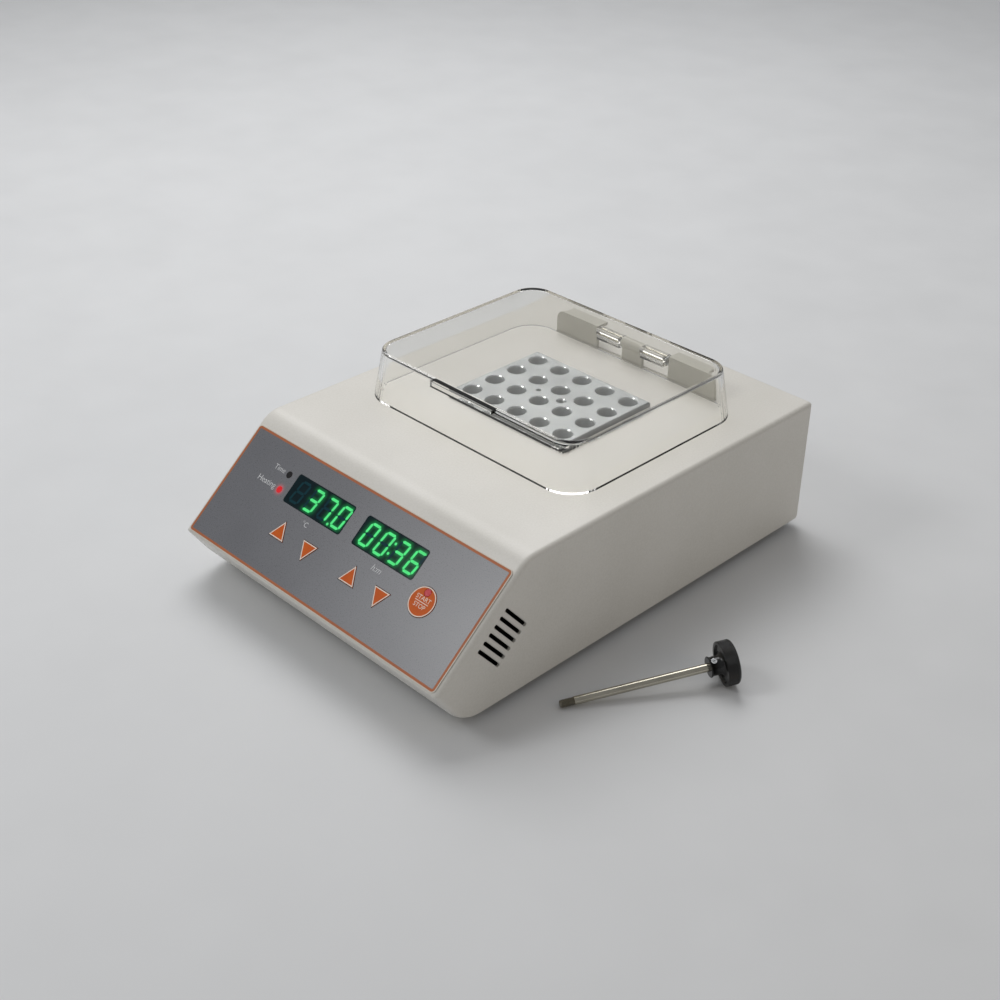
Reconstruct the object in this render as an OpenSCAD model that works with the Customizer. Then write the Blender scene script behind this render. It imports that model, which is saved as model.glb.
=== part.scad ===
// Dry block heater with a hinged clear lid, a tube block and a block lifter.
// Millimetres, +Z up, +Y to the rear, +X to the operator's right.
// The origin is on the bench, below the middle of the housing.

/* [Housing] */
// Width of the housing
body_w = 221; // [212:1:264]
// Depth of the housing, nose to rear
body_d = 314; // [304:1:377]
// Height of the housing's top above the bench
body_h = 89; // [87:1:107]
// Height of the rubber feet
foot_h = 6; // [4:0.5:9]
// Angle of the control slope above level
slope_angle = 40.5; // [36:0.5:44]
// Height of the slope's lower edge above the bench
nose_h = 32.7; // [30:0.1:36]
// Angle of the undercut below the nose
undercut_angle = 56; // [50:1:62]
// Bend radius between slope and top
bend_r = 20; // [6:1:26]
// Bend radius between undercut and underside
underside_r = 22; // [10:1:24]
// Radius along the nose
nose_r = 1.4; // [0.6:0.1:2]
// Radius along the side edges
edge_r = 3; // [1:0.1:3]
// Radius along the rear edge of the top
rear_r = 1.6; // [0.8:0.1:3]
// Sheet thickness of the cover
cover_t = 1.6; // [1:0.1:2]
// Width of the cover's return flanges
flange_w = 9; // [8:0.5:11]
// Sheet thickness of the base plate and rear panel
base_t = 1.5; // [1:0.1:2]

/* [Vents] */
// Slots in each side of the cover
vent_count = 6; // [3:1:7]
// Pitch of the side slots
vent_pitch = 5.15; // [4.5:0.05:6]
// Width of a side slot
vent_w = 2.3; // [1.5:0.1:3]
// Length of a side slot
vent_len = 23.4; // [12:0.1:26]
// Depth of the slots' upper ends below the slope
vent_drop = 8.2; // [6:0.1:12]
// Distance of the lowest slot up the slope
vent_start = 32.7; // [28:0.1:38]

/* [Control panel] */
// Margin between the overlay and the housing's sides
panel_margin = 2.8; // [2.6:0.1:8]
// Length of the overlay up the slope
panel_len = 75.6; // [70:0.1:78]
// Distance of the overlay above the nose
panel_start = 1.4; // [1.3:0.1:4]
// Corner radius of the overlay
panel_r = 2.5; // [1:0.5:8]
// Thickness of the overlay
panel_t = 0.6; // [0.4:0.1:1]
// Width of a display window
window_w = 50.9; // [44:0.1:52]
// Height of a display window
window_h = 18.9; // [16:0.1:20]
// Corner radius of a display window
window_r = 1.8; // [0.8:0.1:3]
// Place of the display windows along the panel
window_x = [-31.8, 29.6];
// Height of the window centres up the slope
window_v = 54.2; // [52:0.1:56]
// Width of a triangular key
key_w = 12.1; // [10:0.1:13]
// Height of a triangular key
key_h = 10.9; // [9:0.1:12]
// Places of the four triangular keys along the panel
key_x = [-44.8, -19.7, 17.5, 42.3];
// Height of the upward keys' lower edge up the slope
key_up_v = 24.6; // [23:0.1:26]
// Height of the downward keys' upper edge up the slope
key_down_v = 32.4; // [31:0.1:34]
// Radius of the start and stop key
start_r = 8.7; // [8.6:0.1:10]
// Place of the start and stop key along the panel
start_x = 68.9; // [66:0.1:74]
// Height of the start and stop key up the slope
start_v = 38.3; // [36:0.1:42]
// Height of the keys above the overlay
key_proud = 0.35; // [0.2:0.05:0.8]
// Travel of a key
key_travel = 0.3; // [0.2:0.05:0.4]
// Gap round a key
key_gap = 0.35; // [0.3:0.05:0.5]
// Diameter of an indicator lens
led_d = 4.2; // [3:0.1:4.4]
// Place of the two status indicators along the panel
led_x = -64.2; // [-68:0.1:-62]
// Heights of the status indicators up the slope
led_v = [59.6, 49.3];
// Distance of the run indicator above the start key's centre
run_led_up = 5.7; // [5.2:0.1:5.8]

/* [Heat block] */
// Width of the tube block
block_w = 95.25; // [90:0.05:100]
// Depth of the tube block
block_d = 76.2; // [72:0.1:80]
// Height of the tube block
block_h = 50.8; // [44:0.1:52]
// Height of the block's top above the housing
block_rise = 3.5; // [2:0.1:6]
// Distance of the block's centre behind the housing's middle
block_y = 39; // [34:0.5:44]
// Columns of tube wells
well_cols = 5; // [3:1:5]
// Rows of tube wells
well_rows = 4; // [2:1:4]
// Pitch of the tube wells
well_pitch = 19.05; // [16:0.05:19.05]
// Diameter of a tube well
tube_d = 11.1; // [9:0.1:13]
// Depth of a tube well
tube_depth = 38; // [30:0.5:40]
// Diameter at the foot of a tube well
tube_tip_d = 4; // [2:0.1:6]
// Clearance round the block
block_gap = 0.8; // [0.5:0.1:1.2]
// Wall of the heated well
chamber_wall = 3; // [2:0.1:4]
// Floor of the heated well
chamber_floor = 6; // [5:0.1:8]
// Thickness of the rim gasket
gasket_t = 1.2; // [0.8:0.1:2]
// Thickness of the insulation
insul_t = 9; // [6:0.5:10]

/* [Lid] */
// Width of the lid at its rim
lid_w = 178.5; // [170:0.5:182]
// Depth of the lid at its rim
lid_d = 150.4; // [146:0.1:154]
// Height of the lid
lid_h = 30.7; // [28:0.1:36]
// Inward lean of the lid's walls over their height
lid_draft = 5.6; // [3:0.1:7]
// Corner radius at the lid's rim
lid_r = 21; // [12:0.5:26]
// Wall of the lid
lid_wall = 2.5; // [2:0.1:3]
// Ends of the finger ledge, with its step between them
ledge_x = [-27, 24, 78];
// Reach of the finger ledge in front of the lid's top edge
ledge_out = 4; // [2:0.1:6]
// Thickness of the tall half of the ledge
ledge_tall = 4; // [3:0.1:6]
// Thickness of the low half of the ledge
ledge_low = 1.6; // [1.2:0.1:2.6]

/* [Hinge] */
// Width of the hinge bracket
hinge_w = 132; // [110:1:140]
// Height of the bracket above the housing
hinge_h = 15; // [14.5:0.1:15.2]
// Sheet thickness of the bracket
hinge_t = 2; // [1.5:0.1:2.5]
// Half the gap between the bracket's ears
ear_x = 30; // [26:0.5:36]
// Corner radius of an ear
ear_r = 6; // [2:0.5:8]
// Gap between the lid's rim and the bracket's face
hinge_back = 1.3; // [1:0.1:2]
// Height of the pin above the housing
pin_up = 11.5; // [11.2:0.1:12]
// Diameter of the pin
pin_d = 3; // [2.5:0.1:3.4]
// Radial clearance of the pin
pin_gap = 0.05; // [0.03:0.01:0.1]
// Radius of the knuckles
knuckle_r = 3.8; // [3.4:0.1:4]
// Half the width of the middle knuckle
barrel_x = 8.5; // [6:0.5:12]
// Reach of the bracket's rearward lip, which stops the open lid
lip_out = 9.5; // [9:0.5:11]

/* [Rear] */
// Place of the power inlet
inlet_x = 52; // [44:1:60]
// Height of the power inlet's centre
inlet_z = 42; // [38:1:46]
// Place of the power switch
switch_x = 0; // [-40:1:6]
// Travel of the fuse drawer
drawer_travel = 12; // [8:1:14]
// Swing of the power switch from on to off
rocker_swing = 16; // [12:1:20]

/* [Block lifter] */
// Diameter of the rod
rod_d = 4.8; // [4:0.1:5]
// Length of the rod outside the knob
rod_len = 85.2; // [70:0.1:110]
// Length of the thread
thread_len = 8; // [6:0.5:12]
// Radius of the knob
knob_r = 12.8; // [11:0.1:16]
// Thickness of the knob's disc
disc_t = 7.6; // [6:0.1:10]
// Length of the knob's hub in front of the disc
hub_len = 7.3; // [6:0.1:10]
// Radius of the hub
hub_r = 6; // [5:0.1:7]
// Teeth round the knob
knob_teeth = 48; // [24:1:60]
// Place of the rod's tip on the bench
lifter_tip = [131.9, -86.6];
// Heading of the rod from the tip, from +X
lifter_heading = 60; // [40:1:80]

/* [Hidden] */
// general clearance between seated pieces
fit = 0.3;
// small screws: thread, tapped hole and clearance hole
screw_d = 2.8;
tap_d = 2.9;
clear_d = 3.4;
eps = 0.01;
$fn = 48;

CREAM = "#dcdad3";
GREY = "#7f8085";
ORANGE = "#d8641f";
STEEL = "#b9bbbd";
ALU = "#c9cccd";
BLACK = "#1d1d1f";
GREEN = "#1f7a45";
CLEAR = [0.86, 0.86, 0.80, 0.35];

front_y = -body_d / 2;
rear_y = body_d / 2;
side_x = body_w / 2;
floor_z = foot_h;
base_top = floor_z + base_t;
slope_top_y = front_y + (body_h - nose_h) / tan(slope_angle);
underside_y = front_y + (nose_h - floor_z) / tan(undercut_angle);
// where the cover's underside ends and the base plate begins
open_y = underside_y + underside_r * tan(undercut_angle / 2) + 6;

block_top = body_h + block_rise;
block_bottom = block_top - block_h;
chamber_w = block_w + 2 * block_gap;
chamber_d = block_d + 2 * block_gap;
chamber_bottom = block_bottom - chamber_floor;
chamber_top = body_h - cover_t - gasket_t;
rim_w = 5;
rim_t = 2;

lid_z = body_h + fit;
lid_top = lid_z + lid_h;
lid_rear = block_y + lid_d / 2;
lid_front_top = block_y - lid_d / 2 + lid_draft;

ear_y = lid_rear + hinge_back;
pin_y = ear_y + 1.5;
pin_z = body_h + pin_up;
lug_side_gap = 0.5;
clip_t = 0.6;
lug_x = [barrel_x + lug_side_gap, ear_x - 2];
pin_half = ear_x - 0.6;

// depths below the slope's surface
module_h = 8;
module_w = window_w + 1;
module_d = window_h + 0.9;
// play of a window in the overlay, over its whole width
window_play = 0.1;
module_drop = 0.2;
board_drop = module_drop + module_h;
board_t = 1.6;
board_v = [11, 68];
board_x = [-78, 86];
spacer_d = 6;
switch_top = board_drop - 5;
stem_gap = key_travel + 0.2;
key_flange_t = 0.7;

power_board_z = base_top + 8;
power_board = [104, 64];
power_board_at = [-18, -60];

// unit vector
function unit(v) = v / norm(v);
// corner of an outline, with its two edges moved in by d1 and d2, rounded with radius r
function corner(p, prev, next, d1, d2, r, n) =
    let(
        u = unit(prev - p),
        v = unit(next - p),
        angle = acos(u * v),
        q = p + (u * d2 + v * d1) / sin(angle),
        c = q + unit(u + v) * r / sin(angle / 2),
        s = q + u * r / tan(angle / 2) - c,
        from = atan2(s.y, s.x),
        turn = 180 - angle
    )
    [for (i = [0:n]) c + r * [cos(from + turn * i / n), sin(from + turn * i / n)]];

// side outline of the housing in Y and Z, from the rear's foot round to the underside
OUTLINE = [
    [rear_y, floor_z],
    [rear_y, body_h],
    [slope_top_y, body_h],
    [front_y, nose_h],
    [underside_y, floor_z]
];
OUTLINE_R = [1, rear_r, bend_r, nose_r, underside_r];
OUTLINE_STEPS = [1, 3, 9, 4, 10];
min_r = 0.4;
// the outline moved in by a wall of t, and further by d for the rounding of the side edges
function outline(t, d) =
    let(inset = [t, t + d * rear_r / edge_r, t + d, t + d, t + d])
    [
        for (k = [0:4])
            each corner(OUTLINE[k], OUTLINE[(k + 4) % 5], OUTLINE[(k + 1) % 5],
                        inset[k], inset[(k + 1) % 5],
                        k == 0 ? OUTLINE_R[0] : max(OUTLINE_R[k] - t - d, min_r),
                        OUTLINE_STEPS[k])
    ];

// closed form through rings of points that run alike, each ring convex
module ringed_form(rings) {
    n = len(rings[0]);
    last = len(rings) - 1;
    polyhedron(
        [for (ring = rings, p = ring) p],
        concat(
            [[for (j = [0:n - 1]) j]],
            [for (i = [0:last - 1], j = [0:n - 1])
                let(k = (j + 1) % n) [i * n + j, (i + 1) * n + j, (i + 1) * n + k, i * n + k]],
            [[for (j = [n - 1:-1:0]) last * n + j]]
        )
    );
}

// the housing's form, moved in by a wall of t, with its side edges rounded
EDGE_STEPS = 5;
module body_form(t) {
    r = max(edge_r - t, min_r);
    ringed_form([
        for (side = [-1, 1], i = [0:EDGE_STEPS])
            let(
                a = 90 * (side < 0 ? EDGE_STEPS - i : i) / EDGE_STEPS,
                x = side * (side_x - t - r + r * sin(a))
            )
            [for (p = outline(t, r * (1 - cos(a)))) [x, p.x, p.y]]
    ]);
}

// places children in the slope's frame: x across, y up the slope, z outward
module on_slope() {
    translate([0, front_y, nose_h])
        rotate([slope_angle, 0, 0])
            children();
}

// rectangle with round corners, centred
module round_rect(w, d, r) {
    square([w - 2 * r, d], center = true);
    square([w, d - 2 * r], center = true);
    for (x = [-1, 1], y = [-1, 1])
        translate([x * (w / 2 - r), y * (d / 2 - r)])
            circle(r);
}

// plate with round corners standing on z = 0
module round_plate(w, d, r, h) {
    linear_extrude(h) round_rect(w, d, r);
}

// slot with round ends along x
module slot(len, w, h) {
    linear_extrude(h, center = true) {
        square([len - w, w], center = true);
        for (s = [-1, 1])
            translate([s * (len - w) / 2, 0]) circle(w / 2);
    }
}

// pan-head screw, head on top of z = 0, shank below
module screw(d, len, head_d, head_h) {
    difference() {
        union() {
            cylinder(h = head_h, d = head_d);
            translate([0, 0, -len]) cylinder(h = len + eps, d = d);
        }
        for (a = [0, 90])
            rotate([0, 0, a])
                translate([0, 0, head_h])
                    cube([head_d * 0.6, head_d * 0.14, head_h], center = true);
    }
}

// isosceles triangle, grown by g on every side; up = 1 points up the slope
module key_shape(g, up) {
    half = key_w / 2;
    side = norm([half, key_h]);
    // inset of the corners that moves every side out by g
    base_g = g * (side + half) / key_h;
    polygon([
        [-half - base_g, -up * g],
        [half + base_g, -up * g],
        [0, up * (key_h + g * side / half)]
    ]);
}

module key_place(k) {
    up = k % 2 == 0;
    translate([key_x[k], up ? key_up_v : key_down_v, 0]) children();
}
function key_dir(k) = k % 2 == 0 ? 1 : -1;
function key_centre(k) = [
    key_x[k],
    k % 2 == 0 ? key_up_v + key_h / 3 : key_down_v - key_h / 3
];
SWITCHES = [
    key_centre(0), key_centre(1), key_centre(2), key_centre(3),
    [start_x, start_v - 3]
];
LEDS = [[led_x, led_v[0]], [led_x, led_v[1]], [start_x, start_v + run_led_up]];
BOARD_POSTS = [[-70, 20], [-70, 62], [78, 16], [78, 62]];

// ---- Housing ----

FLANGE_SCREWS = [-95, 10, 128];
flange_screw_x = side_x - cover_t - flange_w / 2;

module vent_row(side) {
    for (i = [0:vent_count - 1])
        translate([side * side_x, 0, 0])
            on_slope()
                translate([0, vent_start + i * vent_pitch, -vent_drop - vent_len / 2])
                    rotate([0, 90, 0])
                        slot(vent_len, vent_w, 4 * cover_t + 2 * edge_r);
}

module slope_holes() {
    deep = 3 * cover_t;
    on_slope() {
        for (x = window_x)
            translate([x, window_v, 0])
                cube([module_w + 2 * fit, module_d + 2 * fit, 2 * deep], center = true);
        for (k = [0:3])
            key_place(k)
                linear_extrude(2 * deep, center = true) key_shape(key_gap, key_dir(k));
        translate([start_x, start_v, 0])
            cylinder(h = 2 * deep, r = start_r + key_gap, center = true);
        for (p = [LEDS[0], LEDS[1]])
            translate([p.x, p.y, 0])
                cylinder(h = 2 * deep, d = led_d + 2 * fit, center = true);
    }
}

module housing_cover() color(CREAM) {
    inner_x = side_x - cover_t;
    difference() {
        union() {
            difference() {
                body_form(0);
                body_form(cover_t);
                // open underside behind the nose
                translate([-inner_x, open_y, floor_z - 1])
                    cube([2 * inner_x, rear_y - cover_t - open_y, cover_t + 2]);
                // opening for the rear panel, with a flange left round it
                translate([flange_w - side_x, rear_y - 2 * cover_t, floor_z - 1])
                    cube([body_w - 2 * flange_w, 3 * cover_t, body_h - floor_z - flange_w + 1]);
            }
            // return flanges that the base plate is screwed to
            for (s = [-1, 1])
                translate([s * (inner_x - flange_w / 2 + 0.2), (open_y + rear_y - cover_t) / 2, base_top + cover_t / 2])
                    cube([flange_w + 0.4, rear_y - cover_t - open_y - 8, cover_t], center = true);
            // weld studs for the hinge bracket
            for (x = HINGE_STUD_X)
                translate([x, hinge_stud_y, body_h - cover_t - hinge_t - nut_t - 1])
                    cylinder(h = hinge_t + nut_t + 1 + 0.4, d = screw_d);
        }
        // aperture over the heated well
        translate([0, block_y, body_h - 2 * cover_t])
            round_plate(chamber_w, chamber_d, 2, 3 * cover_t);
        // slot for the hinge bracket
        translate([-hinge_w / 2 - fit, ear_y - fit, body_h - 2 * cover_t])
            cube([hinge_w + 2 * fit, hinge_t + 2 * fit, 3 * cover_t]);
        slope_holes();
        for (s = [-1, 1]) vent_row(s);
        for (s = [-1, 1], y = FLANGE_SCREWS)
            translate([s * flange_screw_x, y, base_top - 1])
                cylinder(h = cover_t + 2, d = tap_d);
        for (s = [-1, 1], z = REAR_SCREW_Z)
            translate([s * rear_screw_x, rear_y - 2 * cover_t, z])
                rotate([-90, 0, 0]) cylinder(h = 3 * cover_t, d = clear_d);
    }
}

// front edge of the base plate
plate_front = open_y + fit;
foot_x = side_x - 20;
FOOT_Y = [open_y + 14, rear_y - 20];
standoff_x = 42;
standoff_y = 30;

module base_plate() color(STEEL) difference() {
    union() {
        translate([-side_x + cover_t + fit, plate_front, floor_z])
            cube([body_w - 2 * cover_t - 2 * fit, rear_y - cover_t - fit - plate_front, base_t]);
        // joggled tongues that hook over the cover's front lip
        for (s = [-1, 1])
            translate([s * 55, 0, 0]) {
                translate([-12, plate_front - 8, floor_z + cover_t + fit])
                    cube([24, 12, base_t]);
                translate([-12, plate_front + 2, floor_z])
                    cube([24, 2, cover_t + fit + base_t]);
            }
    }
    for (s = [-1, 1], y = FLANGE_SCREWS)
        translate([s * flange_screw_x, y, floor_z - 1]) cylinder(h = base_t + 2, d = clear_d);
    for (s = [-1, 1], y = FOOT_Y)
        translate([s * foot_x, y, floor_z - 1]) cylinder(h = base_t + 2, d = tap_d);
    for (s = [-1, 1], t = [-1, 1])
        translate([s * standoff_x, block_y + t * standoff_y, floor_z - 1])
            cylinder(h = base_t + 2, d = clear_d);
    for (p = power_posts())
        translate([p.x, p.y, floor_z - 1]) cylinder(h = base_t + 2, d = clear_d);
    // cooling slots below the power board and behind the well
    for (i = [-4:4], y = [power_board_at.y, (block_y + rear_y) / 2 + 26])
        translate([power_board_at.x + i * 9, y, floor_z])
            rotate([0, 0, 90]) slot(34, 3, 4 * base_t);
}

// room for the inner bend where the cover's sides turn in to its rear flanges
bend_gap = fit + edge_r / 2;
rear_screw_x = side_x - cover_t - bend_gap - 2.4;
REAR_SCREW_Z = [floor_z + 16, body_h - 14];
panel_face = rear_y - cover_t;

inlet_body = [28, 30, 20];
inlet_flange = [50, 34, 2.4];
switch_body = [19.4, 12.8, 14];
switch_flange = [21.6, 15, 1.8];
rocker_z = inlet_z;

module rear_panel() color(CREAM) difference() {
    union() {
        translate([0, panel_face, (base_top + body_h - cover_t - bend_gap) / 2])
            rotate([90, 0, 0])
                round_plate(2 * (side_x - cover_t - bend_gap), body_h - cover_t - bend_gap - base_top, edge_r, base_t);
        translate([-side_x + cover_t + flange_w + 2, panel_face - 12, base_top])
            cube([body_w - 2 * cover_t - 2 * flange_w - 4, 12, base_t]);
    }
    for (s = [-1, 1], z = REAR_SCREW_Z)
        translate([s * rear_screw_x, panel_face, z])
            rotate([90, 0, 0]) cylinder(h = 4 * base_t, d = tap_d, center = true);
    translate([inlet_x, panel_face, inlet_z])
        cube([inlet_body.x + 2 * fit, 4 * base_t, inlet_body.y + 2 * fit], center = true);
    for (s = [-1, 1])
        translate([inlet_x + s * 20, panel_face, inlet_z])
            rotate([90, 0, 0]) cylinder(h = 4 * base_t, d = tap_d, center = true);
    translate([switch_x, panel_face, rocker_z])
        cube([switch_body.x + 2 * fit, 4 * base_t, switch_body.y + 2 * fit], center = true);
    // louvre slots beside the inlet
    for (i = [0:6])
        translate([-70 + i * 6, panel_face, inlet_z])
            rotate([90, 90, 0]) slot(34, 2.6, 4 * base_t);
}

module rubber_feet() color(BLACK)
    for (s = [-1, 1], y = FOOT_Y)
        translate([s * foot_x, y, 0])
            difference() {
                rotate_extrude()
                    polygon([[0, 0], [7.2, 0], [7.8, 0.6], [8.5, foot_h], [0, foot_h]]);
                translate([0, 0, -1]) cylinder(h = foot_h - 1, d = 7);
                translate([0, 0, -1]) cylinder(h = foot_h + 2, d = clear_d);
            }

module foot_screws() color(STEEL)
    for (s = [-1, 1], y = FOOT_Y)
        translate([s * foot_x, y, foot_h - 2])
            mirror([0, 0, 1])
                screw(screw_d, base_t + 4, 5.6, 1.8);

module cover_screws() color(STEEL)
    for (s = [-1, 1], y = FLANGE_SCREWS)
        translate([s * flange_screw_x, y, floor_z])
            mirror([0, 0, 1]) screw(screw_d, 7, 5.4, 1.8);

module rear_screws() color(STEEL)
    for (s = [-1, 1], z = REAR_SCREW_Z)
        translate([s * rear_screw_x, rear_y, z])
            rotate([-90, 0, 0]) screw(screw_d, 8, 5.4, 1.8);

// ---- Control panel ----

module keypad_overlay() color(GREY) on_slope() difference() {
    translate([0, panel_start + panel_len / 2, 0])
        round_plate(body_w - 2 * panel_margin, panel_len, panel_r, panel_t);
    for (x = window_x)
        translate([x, window_v, -1]) round_plate(window_w + window_play, window_h + window_play, window_r, 3);
    for (k = [0:3])
        key_place(k)
            linear_extrude(4, center = true) key_shape(key_gap, key_dir(k));
    translate([start_x, start_v, -1]) cylinder(h = 3, r = start_r + key_gap);
    for (p = [LEDS[0], LEDS[1]])
        translate([p.x, p.y, -1]) cylinder(h = 3, d = led_d + 0.2);
}

module display_window(k) color(BLACK) on_slope()
    translate([window_x[k], window_v, 0])
        round_plate(window_w, window_h, window_r, panel_t);
module display_window_temp() display_window(0);
module display_window_time() display_window(1);

module display_module(k) color(BLACK) on_slope()
    translate([window_x[k], window_v, -module_drop - module_h / 2])
        cube([module_w, module_d, module_h], center = true);
module display_module_temp() display_module(0);
module display_module_time() display_module(1);

module control_board() color(GREEN) on_slope() difference() {
    translate([board_x[0], board_v[0], -board_drop - board_t])
        cube([board_x[1] - board_x[0], board_v[1] - board_v[0], board_t]);
    for (p = BOARD_POSTS)
        translate([p.x, p.y, -board_drop - board_t - 1]) cylinder(h = board_t + 2, d = 3.2);
}

module board_spacers() color(STEEL) on_slope()
    for (p = BOARD_POSTS)
        translate([p.x, p.y, -board_drop])
            difference() {
                cylinder(h = board_drop - cover_t, d = spacer_d);
                translate([0, 0, -1]) cylinder(h = board_drop - cover_t, d = 2.6);
            }

module board_screws() color(STEEL) on_slope()
    for (p = BOARD_POSTS)
        translate([p.x, p.y, -board_drop - board_t])
            mirror([0, 0, 1]) screw(2.5, 5, 5, 1.6);

module tact_switches() color(BLACK) on_slope()
    for (p = SWITCHES)
        translate([p.x, p.y, -board_drop]) {
            translate([-3, -3, 0]) cube([6, 6, 3.5]);
            cylinder(h = board_drop - switch_top, d = 3.4);
        }

// a key cap: face, flange behind the sheet and a stem to its switch
module key_cap(k) color(ORANGE) on_slope() {
    c = SWITCHES[k];
    key_place(k)
        translate([0, 0, -cover_t - fit])
            linear_extrude(cover_t + fit + panel_t + key_proud) key_shape(0, key_dir(k));
    key_place(k)
        translate([0, 0, -cover_t - fit - key_flange_t])
            linear_extrude(key_flange_t) key_shape(1, key_dir(k));
    translate([c.x, c.y, stem_gap - switch_top])
        cylinder(h = switch_top - stem_gap - cover_t - fit, d = 3);
}
module key_temp_up() key_cap(0);
module key_temp_down() key_cap(1);
module key_time_up() key_cap(2);
module key_time_down() key_cap(3);

module key_start_stop() color(ORANGE) on_slope() difference() {
    union() {
        translate([start_x, start_v, -cover_t - fit])
            cylinder(h = cover_t + fit + panel_t + key_proud, r = start_r);
        translate([start_x, start_v, -cover_t - fit - key_flange_t])
            cylinder(h = key_flange_t, r = start_r + 1);
        translate([SWITCHES[4].x, SWITCHES[4].y, stem_gap - switch_top])
            cylinder(h = switch_top - stem_gap - cover_t - fit, d = 3);
    }
    translate([LEDS[2].x, LEDS[2].y, -board_drop])
        cylinder(h = 2 * board_drop, d = led_d + 2 * fit);
}

module led(k) on_slope()
    translate([LEDS[k].x, LEDS[k].y, -board_drop]) {
        cylinder(h = board_drop + panel_t + (k == 2 ? key_proud : 0.1), d = led_d);
        cylinder(h = 1.2, d = led_d + 0.8);
    }
module led_time() color(BLACK) led(0);
module led_heating() color("red") led(1);
module led_run() color("red") led(2);

// ---- Heated well ----

module heated_well() color(ALU) difference() {
    out_w = chamber_w + 2 * chamber_wall;
    out_d = chamber_d + 2 * chamber_wall;
    translate([0, block_y, 0])
        union() {
            translate([0, 0, chamber_bottom])
                round_plate(out_w, out_d, 4, chamber_top - chamber_bottom);
            translate([0, 0, chamber_top - rim_t])
                round_plate(out_w + 2 * rim_w, out_d + 2 * rim_w, 6, rim_t);
        }
    translate([0, block_y, block_bottom])
        round_plate(chamber_w, chamber_d, 1.2, body_h);
    // blind holes for the standoffs' studs
    for (s = [-1, 1], t = [-1, 1])
        translate([s * standoff_x, block_y + t * standoff_y, chamber_bottom - 1])
            cylinder(h = 5, d = 3.1);
    // probe hole, from the front
    translate([0, block_y - out_d / 2 - 1, block_bottom - chamber_floor / 2])
        rotate([-90, 0, 0]) cylinder(h = 33, d = probe_d + 0.1);
}
probe_d = 3.8;

module well_gasket() color(BLACK)
    translate([0, block_y, chamber_top])
        linear_extrude(gasket_t) difference() {
            round_rect(chamber_w + 2 * (chamber_wall + rim_w), chamber_d + 2 * (chamber_wall + rim_w), 6);
            round_rect(chamber_w, chamber_d, 2);
        }

pad_t = 1.5;
cutout_d = 16;
module heater_pad() color("#a8552b")
    translate([0, block_y, chamber_bottom - pad_t])
        linear_extrude(pad_t) difference() {
            round_rect(2 * standoff_x - 14, chamber_d - 4, 3);
            circle(d = cutout_d + 2);
        }

insul_drop = 11;
insul_bottom = chamber_bottom - insul_drop;
module insulation_jacket() color("#e6e1cf") difference() {
    out_w = chamber_w + 2 * chamber_wall;
    out_d = chamber_d + 2 * chamber_wall;
    translate([0, block_y, insul_bottom])
        round_plate(out_w + 2 * insul_t, out_d + 2 * insul_t, 8, chamber_top - rim_t - fit - insul_bottom);
    translate([0, block_y, chamber_bottom])
        round_plate(out_w + 0.4, out_d + 0.4, 4.2, body_h);
    translate([0, block_y, chamber_bottom - pad_t - fit])
        round_plate(2 * standoff_x - 13, chamber_d - 3, 3.5, pad_t + 1);
    translate([0, block_y, insul_bottom - 1])
        cylinder(h = insul_drop + 2, d = cutout_d + 2);
    for (s = [-1, 1], t = [-1, 1])
        translate([s * standoff_x, block_y + t * standoff_y, insul_bottom - 1])
            cylinder(h = insul_drop + 2, d = 9);
    translate([0, block_y - out_d / 2 - insul_t - 1, block_bottom - chamber_floor / 2])
        rotate([-90, 0, 0]) cylinder(h = insul_t + 2, d = probe_d + 1);
}

module well_standoffs() color(STEEL)
    for (s = [-1, 1], t = [-1, 1])
        translate([s * standoff_x, block_y + t * standoff_y, base_top])
            difference() {
                union() {
                    cylinder(h = chamber_bottom - base_top, d = 8, $fn = 6);
                    cylinder(h = chamber_bottom - base_top + 3.5, d = 3);
                }
                translate([0, 0, -1]) cylinder(h = 9, d = tap_d);
            }

module well_screws() color(STEEL)
    for (s = [-1, 1], t = [-1, 1])
        translate([s * standoff_x, block_y + t * standoff_y, floor_z])
            mirror([0, 0, 1]) screw(screw_d, 7, 5.4, 1.8);

module temperature_probe() color(STEEL)
    translate([0, block_y - chamber_d / 2 - chamber_wall - insul_t - 6, block_bottom - chamber_floor / 2])
        rotate([-90, 0, 0]) {
            cylinder(h = insul_t + 6 + 30, d = probe_d);
            cylinder(h = 4, d = probe_d + 2);
        }

module thermal_cutout() color(BLACK)
    translate([0, block_y, chamber_bottom - 7]) {
        cylinder(h = 7, d = cutout_d);
        for (s = [-1, 1])
            translate([s * 4 - 0.4, -2.4, -6]) cube([0.8, 4.8, 6.1]);
    }

// ---- Power supply ----

function power_posts() = [
    for (s = [-1, 1], t = [-1, 1])
        [power_board_at.x + s * (power_board.x / 2 - 4), power_board_at.y + t * (power_board.y / 2 - 4)]
];

module power_board_panel() color(GREEN) difference() {
    translate([power_board_at.x, power_board_at.y, power_board_z + board_t / 2])
        cube([power_board.x, power_board.y, board_t], center = true);
    for (p = power_posts())
        translate([p.x, p.y, power_board_z - 1]) cylinder(h = board_t + 2, d = 3.2);
}

module power_board_spacers() color(STEEL)
    for (p = power_posts())
        translate([p.x, p.y, base_top])
            difference() {
                cylinder(h = power_board_z - base_top, d = 6);
                translate([0, 0, -1]) cylinder(h = power_board_z, d = tap_d);
            }

module power_board_screws() color(STEEL)
    for (p = power_posts()) {
        translate([p.x, p.y, power_board_z + board_t]) screw(screw_d, board_t + 3, 5.2, 1.6);
        translate([p.x, p.y, floor_z]) mirror([0, 0, 1]) screw(screw_d, base_t + 3, 5.4, 1.8);
    }

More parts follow.
